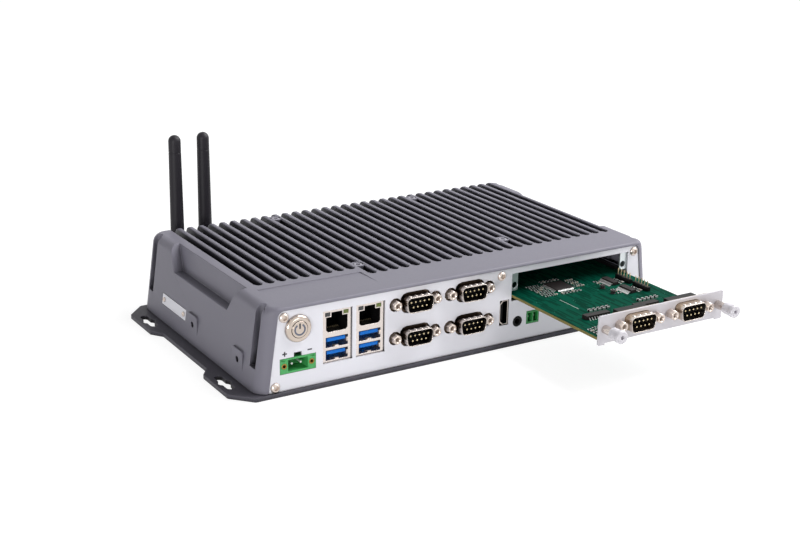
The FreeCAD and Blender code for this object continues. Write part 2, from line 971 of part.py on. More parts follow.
def serial_insulator(x, z, seat):
    """Black insulator of a nine-way port: a plug inside the shell and a block behind its flange."""
    back = seat + flange_thickness
    inner = shell_wall + insert_gap
    width = shell_width - 2 * inner
    height = shell_height - 2 * inner
    face = seat - shell_proud + insulator_sink
    plug = prism_y(serial_outline(x, z, width, height), face, back)
    plug = plug.makeChamfer(shell_round, along(plug, Vector(0, 1, 0)))
    half = serial_body_width / 2
    tall = serial_body_height / 2
    block = box(x - half, x + half, back, back + serial_body_depth, z - tall, z + tall)
    return plug.fuse(block)


def serial_pins(x, z, seat):
    """Nine contact pins: five above four."""
    start = seat - shell_proud + insulator_sink
    tip = seat - shell_proud + serial_pin_sink
    pins = []
    for count, side in ((5, 0.5), (4, -0.5)):
        for index in range(count):
            pin_x = x + (index - (count - 1) / 2) * serial_pin_pitch
            pin_z = z + side * serial_row_pitch
            root = Vector(pin_x, start, pin_z)
            pins.append(bar(hex_sides, serial_pin_radius, root, Vector(pin_x, tip, pin_z)))
    return pins


def jack_screws(x, z, foot, length, tail_end):
    """Two hexagonal jack screws beside a port, from their foot outward, with a tail that goes in."""
    screws = []
    for side in (-0.5, 0.5):
        screw_x = x + side * jack_screw_pitch
        base = Vector(screw_x, foot, z)
        crown = Vector(screw_x, foot - length, z)
        body = bar(hex_sides, jack_screw_radius, base, crown)
        tail = bar(shank_sides, jack_screw_bore, base, Vector(screw_x, tail_end, z))
        bore_end = Vector(screw_x, foot - length + jack_screw_bore_depth, z)
        screws.append(body.fuse(tail).cut(bar(shank_sides, jack_screw_bore, crown, bore_end)))
    return screws


def front_panel():
    """Sheet-metal front with an opening for every port and the card bay."""
    panel = prism_y(flank(panel_margin, base_thickness, panel_top), panel_face, panel_back)
    upright = along(panel, Vector(0, 1, 0))
    corners = [edge for edge in upright if edge.CenterOfMass.z > panel_top - tolerance]
    panel = panel.makeFillet(panel_round, corners)
    y0 = panel_face - overshoot
    y1 = panel_back + overshoot

    def window(x0, x1, z0, z1):
        return box(x0 - port_gap, x1 + port_gap, y0, y1, z0 - port_gap, z1 + port_gap)

    def hole(x, z, radius):
        return rod_y(radius, x, z, y0, y1)

    terminal_top = terminal_base + terminal_height
    notch = terminal_left + terminal_width / 2
    notch_half = terminal_notch_width / 2
    notch_top = terminal_top + terminal_notch_height
    cuts = [
        hole(button_x, button_height, button_barrel_radius + port_gap),
        window(terminal_left, terminal_left + terminal_width, terminal_base, terminal_top),
        box(notch - notch_half, notch + notch_half, y0, y1, terminal_base, notch_top),
        window(video_left, video_left + video_width, video_base, video_base + video_height),
        hole(sound_x, sound_height, sound_radius + port_gap),
        window(switch_left, switch_left + switch_width, switch_base, switch_base + switch_height),
        box(bay_left, bay_right, y0, y1, bay_low, bay_top),
    ]
    for left in stack_lefts:
        right = left + stack_width + stack_gap
        cuts.append(box(left - stack_gap, right, y0, y1, stack_base - port_gap, stack_top + port_gap))
    for x, z in serial_places:
        cuts += serial_panel_cuts(x, z)
    for x, z in front_screw_places():
        cuts.append(drill_y(screw_hole, x, z, y0, y1))
    return panel.cut(cuts)


def rear_panel():
    """Plain sheet-metal rear with two antenna holes."""
    panel = prism_y(flank(panel_margin, base_thickness, rear_top), rear_back, rear_face)
    upright = along(panel, Vector(0, 1, 0))
    corners = [edge for edge in upright if edge.CenterOfMass.z > rear_top - tolerance]
    panel = panel.makeFillet(panel_round, corners)
    y0 = rear_back - overshoot
    y1 = rear_face + overshoot
    cuts = []
    for x in antenna_xs:
        start = Vector(x, y0, antenna_height)
        end = Vector(x, y1, antenna_height)
        cuts.append(drill(head_sides, jack_barrel_radius + screw_hole_gap, start, end))
    for x, z in rear_screw_places():
        cuts.append(drill_y(screw_hole, x, z, y0, y1))
    return panel.cut(cuts)


def panel_screws():
    """Button-head screws of both panels."""
    screws = []
    sizes = (button_head_radius, button_head_height, screw_radius, panel_screw_length)
    for x, z in front_screw_places():
        screws.append(screw(Vector(x, panel_face, z), Vector(0, 1, 0), *sizes))
    for x, z in rear_screw_places():
        screws.append(screw(Vector(x, rear_face, z), Vector(0, -1, 0), *sizes))
    return screws


def base_plate_screws():
    """Cap screws in the corner wells, which hold the housing on the base plate."""
    length = well_floor - base_thickness / 4
    down = Vector(0, 0, -1)
    sizes = (cap_head_radius, cap_head_height, screw_radius, length)
    return [screw(Vector(x, y, well_floor), down, *sizes) for x, y in well_places()]


def heatsink_screws():
    """Cap screws in the roof bosses, which hold the heat spreader against the roof."""
    seat = top_z - roof_screw_sink
    length = seat - roof_under + spreader_thickness
    down = Vector(0, 0, -1)
    sizes = (cap_head_radius, cap_head_height, screw_radius, length)
    return [screw(Vector(x, y, seat), down, *sizes) for x, y in roof_boss_places()]


def reader_cover():
    """Small plate over the card-reader slot in the left side."""
    half = cover_length / 2
    tall = cover_height / 2
    plate = box(0, cover_thickness, -half, half, -tall, tall)
    holes = []
    for y in cover_screw_ys():
        end = Vector(cover_thickness + overshoot, y, 0)
        holes.append(drill(shank_sides, cover_screw_radius + insert_gap, Vector(-overshoot, y, 0), end))
    return on_left_wall(plate.cut(holes))


def reader_cover_screws():
    """Two small screws of the cover plate."""
    sizes = (cover_head_radius, cover_head_height, cover_screw_radius, cover_screw_length)
    return [on_left_wall(screw(Vector(0, y, 0), Vector(1, 0, 0), *sizes)) for y in cover_screw_ys()]


def board_edges():
    """Left, right, front and rear edges of the main board."""
    half = side_half(board_under) - board_side_gap
    return -half, half, panel_back + board_front_gap, rear_back - board_rear_gap


def standoff_places():
    """Axis of each main-board standoff, in X and Y."""
    left, right, front, rear = board_edges()
    ends = [front + standoff_inset_y, rear - standoff_inset_y]
    xs = [left + standoff_inset_x, standoff_middle_x, right - standoff_inset_x]
    return [(x, y) for x in xs for y in ends]


def mainboard():
    """Main circuit board on its standoffs."""
    left, right, front, rear = board_edges()
    board = box(left, right, front, rear, board_under, board_top)
    holes = []
    for x, y in standoff_places():
        holes.append(drill_z(screw_hole, x, y, board_under - overshoot, board_top + overshoot))
    return board.cut(holes)


def mainboard_standoffs():
    """Hexagonal standoffs pressed into the base plate."""
    posts = []
    for x, y in standoff_places():
        post = bar(hex_sides, standoff_radius, Vector(x, y, base_thickness), Vector(x, y, board_under))
        posts.append(post.cut(drill_z(screw_hole, x, y, board_under - board_screw_length, board_under)))
    return posts


def mainboard_screws():
    """Screws that hold the main board on its standoffs."""
    sizes = (cap_head_radius, cap_head_height, screw_radius, board_screw_length)
    return [screw(Vector(x, y, board_top), Vector(0, 0, -1), *sizes) for x, y in standoff_places()]


def cpu_package():
    """Processor package on the main board."""
    half = cpu_size / 2
    return box(cpu_x - half, cpu_x + half, cpu_y - half, cpu_y + half, board_top, board_top + cpu_height)


def heat_spreader():
    """Aluminium plate under the roof, with a column down to the processor."""
    reach = roof_boss_x + spreader_border
    low = roof_under - spreader_thickness
    front = roof_boss_front - spreader_border
    rear = roof_boss_rear + spreader_border
    plate = box(fin_shift - reach, fin_shift + reach, front, rear, low, roof_under)
    half = spreader_column / 2
    column = box(cpu_x - half, cpu_x + half, cpu_y - half, cpu_y + half, board_top + cpu_height, low)
    holes = []
    for x, y in roof_boss_places():
        holes.append(drill_z(screw_hole, x, y, low - overshoot, roof_under + overshoot))
    return plate.fuse(column).cut(holes).removeSplitter()


def memory_socket():
    """Socket that holds the memory module flat over the board."""
    half = memory_width / 2
    rear = memory_y + memory_depth
    low = board_top + memory_lift
    top = board_top + memory_socket_height
    deep = memory_socket_depth / 2
    wide = half + overshoot
    under = low - insert_gap
    over = low + memory_thickness + insert_gap
    block = box(bay_middle - half, bay_middle + half, rear - deep, rear + deep, board_top, top)
    return block.cut(box(bay_middle - wide, bay_middle + wide, memory_y, rear, under, over))


def memory_module():
    """Memory module lying in its socket."""
    half = memory_width / 2
    low = board_top + memory_lift
    rear = memory_y + memory_depth
    return box(bay_middle - half, bay_middle + half, memory_y, rear, low, low + memory_thickness)


def storage_drive():
    """Flat storage module on the board."""
    x = drive_length / 2
    y = drive_width / 2
    return box(drive_x - x, drive_x + x, drive_y - y, drive_y + y, board_top, board_top + drive_height)


def coin_cell():
    """Clock battery on the board."""
    foot = Vector(cell_x, cell_y, board_top)
    return bar(2 * head_sides, cell_radius, foot, foot + Vector(0, 0, cell_height))


def power_button_body():
    """Steel barrel of the power button, with a bevelled bezel on the panel."""
    centre = Vector(button_x, panel_face, button_height)
    out = Vector(0, -1, 0)
    crown = centre + out * button_bezel_height
    bezel = rod(button_bezel_radius, centre, crown)
    rims = [edge for edge in bezel.Edges if edge.Closed and edge.CenterOfMass.y < panel_face - tolerance]
    bezel = bezel.makeChamfer(button_bezel_bevel, rims)
    barrel = rod(button_barrel_radius, centre, centre - out * button_barrel_length)
    bore = rod(button_bore_radius, crown + out, crown - out * button_bore_depth)
    return bezel.fuse(barrel).cut(bore)


def power_button_cap():
    """Plunger of the power button."""
    face = panel_face - button_bezel_height - button_cap_rise
    start = Vector(button_x, face, button_height)
    return rod(button_bore_radius - button_cap_gap, start, start + Vector(0, button_cap_length, 0))


def power_button_nut():
    """Nut that holds the power button from behind the panel."""
    start = Vector(button_x, panel_back, button_height)
    end = start + Vector(0, button_nut_height, 0)
    bore = rod(button_barrel_radius + insert_gap, start, end)
    return bar(hex_sides, button_nut_radius, start, end).cut(bore)


def terminal_middle():
    """Middle of the power terminal, in X and Z."""
    return terminal_left + terminal_width / 2, terminal_base + terminal_height / 2


def dc_terminal():
    """Green power terminal: a socket between two screw ears, on a foot that stands on the board."""
    x, z = terminal_middle()
    face = panel_face - terminal_proud
    rear = panel_back + terminal_depth
    half = terminal_width / 2
    tall = terminal_height / 2
    body = box(x - half, x + half, face, rear, z - tall, z + tall)
    foot = box(x - half, x + half, panel_back, rear, board_top, z)
    mouth = terminal_socket_width / 2
    lip = terminal_socket_height / 2
    cuts = [box(x - mouth, x + mouth, face - overshoot, face + terminal_socket_depth, z - lip, z + lip)]
    slot_top = z + tall - terminal_slot_drop
    slot_low = slot_top - terminal_slot_height
    for slot_left in (x - half + terminal_slot_edge, x + half - terminal_slot_edge - terminal_slot_width):
        slot_right = slot_left + terminal_slot_width
        slot_end = face + terminal_slot_depth
        cuts.append(box(slot_left, slot_right, face - overshoot, slot_end, slot_low, slot_top))
    for side in (-0.5, 0.5):
        start = Vector(x + side * terminal_insert_pitch, face - overshoot, z)
        end = Vector(x + side * terminal_insert_pitch, face + terminal_insert_depth, z)
        cuts.append(drill(head_sides, terminal_insert_radius + insert_gap, start, end))
    return body.fuse(foot).cut(cuts).removeSplitter()


def terminal_pins():
    """Contact pins of the power terminal and of the switch terminal."""
    x, z = terminal_middle()
    face = panel_face - terminal_proud
    pins = []
    for side in (-0.5, 0.5):
        pin_x = x + side * terminal_pin_pitch
        root = Vector(pin_x, face + terminal_socket_depth, z)
        tip = Vector(pin_x, face + terminal_pin_setback, z)
        pins.append(bar(shank_sides, terminal_pin_radius, root, tip))
    mid = switch_base + switch_height / 2
    for pin_x in switch_socket_xs():
        root = Vector(pin_x, face + switch_socket_depth, mid)
        tip = Vector(pin_x, face + terminal_pin_setback, mid)
        pins.append(bar(shank_sides, terminal_pin_radius, root, tip))
    return pins


def terminal_inserts():
    """Brass screw inserts in the ears of the power terminal."""
    x, z = terminal_middle()
    face = panel_face - terminal_proud
    inserts = []
    for side in (-0.5, 0.5):
        start = Vector(x + side * terminal_insert_pitch, face, z)
        end = start + Vector(0, terminal_insert_depth, 0)
        sleeve = bar(head_sides, terminal_insert_radius, start, end)
        inserts.append(sleeve.cut(bar(head_sides, terminal_insert_bore, start, end)))
    return inserts


def stack_openings(left):
    """Left, right, low and high edges of the jack, and the low edge of each bus port, in one stack."""
    middle = left + stack_width / 2
    jack_top = stack_top - port_gap - jack_drop
    jack = (middle - jack_width / 2, middle + jack_width / 2, jack_top - jack_height, jack_top)
    first = stack_base + port_gap + bus_low_lift
    return jack, (first, first + bus_pitch)


def jack_mouth(left, y0, y1):
    """Cutters for the mouth of a network jack, keyed at its top."""
    (x0, x1, z0, z1), lows = stack_openings(left)
    middle = (x0 + x1) / 2
    low = z0 + jack_mouth_lift
    high = low + jack_mouth_height
    key = jack_key_width / 2
    left_wall = x0 + jack_wall
    right_wall = x1 - jack_wall
    bevel = jack_mouth_chamfer
    wide = [
        (left_wall, low + bevel),
        (left_wall + bevel, low),
        (right_wall - bevel, low),
        (right_wall, low + bevel),
        (right_wall, high),
        (left_wall, high),
    ]
    return [prism_y(wide, y0, y1), box(middle - key, middle + key, y0, y1, low, high + jack_key_height)]


def lan_usb_shells():
    """Plated shells of the two stacks, each with a network jack above two bus ports."""
    face = panel_face + stack_setback
    rear = panel_back + stack_depth
    shells = []
    for left in stack_lefts:
        right = left + stack_width
        middle = left + stack_width / 2
        (x0, x1, z0, z1), lows = stack_openings(left)
        low = stack_base + port_gap
        shell = box(left, right, face, rear, low, stack_top - port_gap)
        shell = shell.fuse(box(left, right, panel_back, rear, board_top, low))
        cuts = [box(x0, x1, face + stack_face, face + jack_depth, z0, z1)]
        cuts += jack_mouth(left, face - overshoot, face + jack_depth)
        gap = insert_gap
        for a, b, front, end, lamp_low, lamp_top in lamp_boxes(left):
            cuts.append(box(a - gap, b + gap, front - overshoot, end, lamp_low - gap, lamp_top + gap))
        half = bus_width / 2
        for z in lows:
            top = z + bus_height
            cuts.append(box(middle - half, middle + half, face - overshoot, face + bus_depth, z, top))
        shells.append(shell.cut(cuts).removeSplitter())
    return shells


def lamp_boxes(left):
    """Edges of the two lamps in the top corners of a network jack."""
    (x0, x1, z0, z1), lows = stack_openings(left)
    face = panel_face + stack_setback
    low = z1 - jack_lamp_height
    spans = ((x0 + insert_gap, x0 + jack_lamp_width), (x1 - jack_lamp_width, x1 - insert_gap))
    return [(a, b, face, face + jack_lamp_depth, low, z1 - insert_gap) for a, b in spans]


def lan_jack_inserts():
    """Black liners of the network jacks, with a keyed mouth and places for two lamps."""
    liners = []
    face = panel_face + stack_setback
    gap = insert_gap
    front = face + stack_face + gap
    for left in stack_lefts:
        (x0, x1, z0, z1), lows = stack_openings(left)
        liner = box(x0 + gap, x1 - gap, front, face + jack_depth - gap, z0 + gap, z1 - gap)
        cuts = jack_mouth(left, face - overshoot, face + jack_mouth_depth)
        for a, b, lamp_front, rear, lamp_low, lamp_top in lamp_boxes(left):
            lamp_over = lamp_top + 2 * gap
            cuts.append(box(a - 2 * gap, b + gap, lamp_front - overshoot, rear, lamp_low - gap, lamp_over))
        liners.append(liner.cut(cuts))
    return liners


def lan_lamps():
    """Lamps in the top corners of the network jacks."""
    return [box(*edges) for left in stack_lefts for edges in lamp_boxes(left)]


def usb_tongues():
    """Blue tongues of the four bus ports, each with its back wall."""
    tongues = []
    face = panel_face + stack_setback
    for left in stack_lefts:
        middle = left + stack_width / 2
        half = bus_tongue_width / 2
        wall = bus_width / 2 - insert_gap
        inside = face + bus_depth - insert_gap
        for low in stack_openings(left)[1]:
            z = low + bus_tongue_lift
            top = low + bus_height - insert_gap
            tip = face + bus_tongue_setback
            tongue = box(middle - half, middle + half, tip, inside, z, z + bus_tongue_height)
            back = box(middle - wall, middle + wall, inside - bus_back, inside, low + insert_gap, top)
            tongues.append(tongue.fuse(back))
    return tongues


def com_port_seat():
    """Front of the serial ports' flanges, which lie against the back of the panel."""
    return panel_back


def hdmi_outline(inset):
    """Corners of the upright video port, chamfered on its left side, set in by a wall."""
    x0 = video_left + port_gap + inset
    x1 = video_left + video_width - port_gap - inset
    z0 = video_base + port_gap + inset
    z1 = video_base + video_height - port_gap - inset
    cut = video_chamfer
    return [(x1, z0), (x1, z1), (x0 + cut, z1), (x0, z1 - cut), (x0, z0 + cut), (x0 + cut, z0)]


def video_port_shell():
    """Plated shell of the upright video port, on a foot that stands on the board."""
    face = panel_face + video_setback
    rear = panel_back + video_depth
    shell = prism_y(hdmi_outline(0), face, rear)
    x0 = video_left + video_chamfer + port_gap
    x1 = video_left + video_width - port_gap
    foot = box(x0, x1, panel_back, rear, board_top, video_base + video_chamfer)
    mouth = prism_y(hdmi_outline(video_wall), face - overshoot, face + video_mouth_depth)
    return shell.fuse(foot).cut(mouth).removeSplitter()


def video_port_tongue():
    """Contact blade inside the video port."""
    x = video_left + video_width / 2
    z = video_base + video_height / 2
    half = video_tongue_width / 2
    tall = video_tongue_height / 2
    root = panel_face + video_setback + video_mouth_depth
    return box(x - half, x + half, root - video_tongue_length, root, z - tall, z + tall)


def audio_jack():
    """Sound jack: a barrel through the panel and a body on the board."""
    mouth = Vector(sound_x, panel_face, sound_height)
    barrel = rod(sound_radius, mouth, Vector(sound_x, panel_back + sound_body_depth, sound_height))
    half = sound_body_width / 2
    rear = panel_back + sound_body_depth
    body = box(sound_x - half, sound_x + half, panel_back, rear, board_top, sound_height + half)
    bore = rod(sound_bore, mouth - Vector(0, overshoot, 0), mouth + Vector(0, sound_bore_depth, 0))
    return barrel.fuse(body).cut(bore).removeSplitter()


def switch_socket_xs():
    """Middle of each cavity in the switch terminal."""
    middle = switch_left + switch_width / 2
    return [middle - switch_socket_pitch / 2, middle + switch_socket_pitch / 2]


def switch_terminal():
    """Green two-way terminal for a remote switch."""
    face = panel_face - terminal_proud
    rear = panel_back + switch_depth
    right = switch_left + switch_width
    top = switch_base + switch_height
    body = box(switch_left, right, face, rear, switch_base, top)
    foot = box(switch_left, right, panel_back, rear, board_top, top)
    cuts = []
    half = switch_socket_width / 2
    tall = switch_socket_height / 2
    z = switch_base + switch_height / 2
    for x in switch_socket_xs():
        inside = face + switch_socket_depth
        cuts.append(box(x - half, x + half, face - overshoot, inside, z - tall, z + tall))
    return body.fuse(foot).cut(cuts).removeSplitter()


def card_tray():
    """Folded sheet-metal tray of the card bay, with two front tabs that take the thumbscrews."""
    left = bay_left - tray_gauge
    right = bay_right + tray_gauge
    floor = bay_low - tray_floor_drop
    front = panel_back + tray_tab_depth
    rear = tray_rear
    wall_top = floor + tray_wall_height
    tab_low = bay_top - bay_tab_drop
    pieces = [box(left, right, front, rear, floor, floor + tray_gauge)]
    cuts = []
    for outer, inner, edge, hole_x in (
        (left, bay_left, bay_left + bay_tab_width, thumb_xs[0]),
        (right, bay_right, bay_right - bay_tab_width, thumb_xs[1]),
    ):
        x0, x1 = sorted((outer, inner))
        pieces.append(box(x0, x1, front, rear, floor, wall_top))
        neck_top = tab_low + tray_neck
        pieces.append(box(x0, x1, panel_back, front + tray_neck, floor, neck_top))
        a, b = sorted((outer, edge))
        pieces.append(box(a, b, panel_back, front, tab_low, neck_top))
        c, d = sorted((inner, edge))
        pieces.append(box(c, d, panel_back, front, tab_low, bay_top))
        start = Vector(hole_x, panel_back - overshoot, thumb_height)
        cuts.append(drill(head_sides, bay_tab_hole, start, Vector(hole_x, front + overshoot, thumb_height)))
    tray = join(pieces)
    inner = bay_width / 2 - bay_tab_width
    corners = []
    for edge in along(tray, Vector(0, 1, 0)):
        if abs(abs(edge.CenterOfMass.x - bay_middle) - inner) < tolerance:
            corners.append(edge)
    return tray.makeFillet(bay_tab_round, corners).cut(cuts)


def card_tray_posts():
    """Posts that carry the tray over the main board."""
    posts = []
    floor = bay_low - tray_floor_drop
    first = panel_back + tray_post_first
    for x in (bay_left + tray_post_inset_x, bay_right - tray_post_inset_x):
        for y in (first, first + tray_post_pitch):
            posts.append(bar(hex_sides, tray_post_radius, Vector(x, y, board_top), Vector(x, y, floor)))
    return posts


def card_guides():
    """Two grooved rails in the tray that the card's edges run in."""
    rails = []
    front = panel_back + guide_setback
    rear = tray_rear
    middle = card_low + card_thickness / 2
    low = bay_low - tray_floor_drop + tray_gauge
    half = card_thickness / 2 + guide_gap
    for wall, inward, edge in ((bay_left, 1, card_left), (bay_right, -1, card_right)):
        x0, x1 = sorted((wall, wall + inward * guide_width))
        rail = box(x0, x1, front, rear, low, middle + guide_height / 2)
        deep = edge - inward * guide_gap
        a, b = sorted((deep, deep + inward * (guide_width + overshoot)))
        rails.append(rail.cut(box(a, b, front - overshoot, rear + overshoot, middle - half, middle + half)))
    return rails


def card_socket():
    """Edge socket that the card's nose plugs into."""
    front = card_socket_front
    rear = front + card_socket_depth
    middle = card_low + card_thickness / 2
    half = card_socket_width / 2
    tall = card_socket_height / 2
    block = box(bay_middle - half, bay_middle + half, front, rear, middle - tall, middle + tall)
    nose = card_nose_width / 2 + guide_gap
    slit = card_thickness / 2 + guide_gap
    inside = card_rear + card_out + card_socket_gap
    slot = box(bay_middle - nose, bay_middle + nose, front - overshoot, inside, middle - slit, middle + slit)
    return block.cut(slot)


def card_riser():
    """Upright board that carries the edge socket."""
    front = card_socket_front + card_socket_depth
    half = card_socket_width / 2 + overshoot
    top = card_low + card_thickness / 2 + card_socket_height / 2 + riser_rise
    return box(bay_middle - half, bay_middle + half, front, front + riser_thickness, board_top, top)


def card_bracket():
    """Front plate of the card, with two port openings and two small ears along its foot."""
    left = bay_left - bracket_overlap
    right = bay_right + bracket_overlap
    foot = bay_low + bracket_ear_height
    plate = box(left, right, bracket_face, bracket_back, foot, bay_top)
    plate = plate.fuse(box(left, left + bracket_ear_width, bracket_face, bracket_back, bay_low, bay_top))
    plate = plate.fuse(box(right - bracket_ear_width, right, bracket_face, bracket_back, bay_low, bay_top))
    plate = plate.removeSplitter()
    outer = []
    for edge in along(plate, Vector(0, 1, 0)):
        if abs(abs(edge.CenterOfMass.x - bay_middle) - (right - left) / 2) < tolerance:
            outer.append(edge)
    plate = plate.makeFillet(bracket_round, outer)
    y0 = bracket_face - overshoot
    y1 = bracket_back + overshoot
    cuts = []
    for x in card_port_xs:
        cuts.append(serial_tube(x, card_port_z, screw_hole_gap, y0, y1))
        for side in (-0.5, 0.5):
            hole_x = x + side * jack_screw_pitch
            hole_radius = jack_screw_bore + screw_hole_gap
            cuts.append(drill_y(hole_radius, hole_x, card_port_z, y0, y1))
    for x in thumb_xs:
        cuts.append(rod_y(ferrule_bore, x, thumb_height, y0, y1))
    return plate.cut(cuts)


def card_board():
    """Circuit board of the card, narrowed to a nose at its rear end."""
    shoulder = card_rear - card_nose_length
    nose = card_nose_width / 2
    outline = [
        (card_left, card_front),
        (card_right, card_front),
        (card_right, shoulder),
        (bay_middle + nose, shoulder),
        (bay_middle + nose, card_rear),
        (bay_middle - nose, card_rear),
        (bay_middle - nose, shoulder),
        (card_left, shoulder),
    ]
    return prism_z(outline, card_low, card_top)


def on_card(x, from_front, width, length, height):
    """Block that sits on the card, placed by its middle."""
    y = card_front + from_front
    return box(x - width / 2, x + width / 2, y - length / 2, y + length / 2, card_top, card_top + height)


def card_main_chip():
    """Large square chip of the card."""
    return on_card(main_chip_x, main_chip_from_front, main_chip_size, main_chip_size, main_chip_height)


def card_line_drivers():
    """Two line-driver chips."""
    chips = []
    for index in range(2):
        place = driver_from_front - index * driver_pitch
        chips.append(on_card(driver_x, place, driver_width, driver_length, driver_height))
    return chips


def card_pin_headers():
    """Black bodies of the two pin headers."""
    bodies = []
    for index in range(2):
        place = header_from_front - index * header_pitch
        bodies.append(on_card(header_x, place, header_width, header_ways * header_step, header_height))
    return bodies


def card_header_pins():
    """Pins that stand out of the two headers."""
    pins = []
    for index in range(2):
        for way in range(header_ways):
            y = card_front + header_from_front - index * header_pitch
            y += (way - (header_ways - 1) / 2) * header_step
            start = Vector(header_x, y, card_top + header_height)
            pins.append(bar(4, header_pin_radius, start, start + Vector(0, 0, header_pin_rise)))
    return pins


def card_small_parts():
    """Resistor arrays and rows of small parts behind the card's ports."""
    parts = []
    for x in card_port_xs:
        parts.append(on_card(x - array_shift, array_from_front, array_width, array_depth, array_height))
        for index in range(small_part_count):
            place = x + small_part_shift + (index - (small_part_count - 1) / 2) * small_part_step
            sizes = (small_part_size, small_part_size, small_part_height)
            parts.append(on_card(place, small_part_from_front, *sizes))
    return parts


def thumbscrew_ferrules():
    """Fixed sleeves on the bracket that hold the thumbscrews captive."""
    sleeves = []
    for x in thumb_xs:
        start = Vector(x, bracket_face, thumb_height)
        end = start - Vector(0, ferrule_length, 0)
        sleeves.append(bar(2 * head_sides, ferrule_radius, start, end).cut(rod(ferrule_bore, start, end)))
    return sleeves


def thumbscrew(x):
    """Captive thumbscrew: a fluted knob with a driver recess, and a shank through its sleeve."""
    foot = Vector(x, bracket_face - ferrule_length - thumb_gap, thumb_height)
    crown = foot - Vector(0, knob_length, 0)
    knob = rod(knob_radius, foot, crown)
    cuts = [bar(hex_sides, knob_recess_radius, crown, crown + Vector(0, knob_recess_depth, 0))]
    for index in range(knob_flutes):
        angle = 2 * math.pi * index / knob_flutes
        offset = Vector(knob_radius * math.cos(angle), 0, knob_radius * math.sin(angle))
        cuts.append(bar(4, knob_flute_radius, foot + offset, crown + offset))
    tail = Vector(x, bracket_back + thumb_tail, thumb_height)
    return knob.cut(cuts).fuse(rod(thumb_shank_radius, foot, tail))


def antenna_jack(x):
    """Threaded jack through the rear panel, with its nut."""
    inner = Vector(x, rear_back - jack_body_length, antenna_height)
    body = bar(hex_sides, jack_body_radius, inner, Vector(x, rear_back, antenna_height))
    barrel = rod(jack_barrel_radius, inner, Vector(x, rear_face + jack_barrel_length, antenna_height))
    start = Vector(x, rear_face, antenna_height)
    nut = bar(hex_sides, jack_body_radius, start, start + Vector(0, jack_nut_height, 0))
    return join([body, barrel, nut])


def antenna_elbow(x):
    """Turning foot of an antenna: a coupling over the jack, forked at its end, with a hinge pin."""
    start = rear_face + elbow_start
    jack_end = rear_face + jack_barrel_length + elbow_end_gap
    wide = elbow_radius + overshoot
    low = antenna_height - wide
    high = antenna_height + wide
    end = Vector(x, hinge_y + ear_radius, antenna_height)
    body = bar(whip_sides, elbow_radius, Vector(x, start, antenna_height), end)
    shank = box(x - wide, x + wide, start, hinge_y, low, high)
    tip_start = Vector(x - wide, hinge_y, antenna_height)
    tip = bar(whip_sides, ear_radius, tip_start, Vector(x + wide, hinge_y, antenna_height))
    gap = tongue_thickness / 2 + tongue_gap
    fork = box(x - gap, x + gap, hinge_y - ear_radius, hinge_y + wide, low, high)
    bore = rod_y(jack_barrel_radius + elbow_gap, x, antenna_height, start - overshoot, jack_end)
    reach = elbow_radius + hinge_pin_proud
    pin_start = Vector(x - reach, hinge_y, antenna_height)
    pin = rod(hinge_pin_radius, pin_start, Vector(x + reach, hinge_y, antenna_height))
    return body.common(shank.fuse(tip)).cut([fork, bore]).fuse(pin)


def antenna_whip(x):
    """Tapered rubber whip with a round tip, on a tongue that turns about the hinge pin."""
    half = tongue_thickness / 2
    root = antenna_height + whip_root
    tongue = box(x - half, x + half, hinge_y - tongue_radius, hinge_y + tongue_radius, antenna_height, root)
    knuckle_start = Vector(x - half, hinge_y, antenna_height)
    knuckle = rod(tongue_radius, knuckle_start, Vector(x + half, hinge_y, antenna_height))
    tip = antenna_height + whip_length

    collar_top = root + whip_collar
    shoulder = tip - whip_tip_radius
    waist = whip_radius - whip_collar_step
    outline = [(whip_radius, root), (whip_radius, collar_top), (waist, collar_top)]
    for step in range(crown_steps):
        angle = math.pi / 2 * step / crown_steps
        outline.append((whip_tip_radius * math.cos(angle), shoulder + whip_tip_radius * math.sin(angle)))
    outline.append((whip_tip_radius * whip_tip_flat, tip))
    rings = []
    for radius, z in outline:
        ring = []
        for step in range(whip_sides):
            angle = 2 * math.pi * step / whip_sides
            ring.append(Vector(x + radius * math.cos(angle), hinge_y + radius * math.sin(angle), z))
        rings.append(ring)
    rubber = stacked(rings)
    bore_start = knuckle_start - Vector(overshoot, 0, 0)
    bore_end = Vector(x + half + overshoot, hinge_y, antenna_height)
    return join([tongue, knuckle, rubber]).cut(rod(hinge_pin_radius + hinge_pin_gap, bore_start, bore_end))


def serial_group(places, seat):
    """Shells, insulators and pins of several nine-way ports on one seat."""
    shells = [serial_shell(x, z, seat) for x, z in places]
    insulators = [serial_insulator(x, z, seat) for x, z in places]
    pins = []
    for x, z in places:
        pins += serial_pins(x, z, seat)
    return shells, insulators, pins


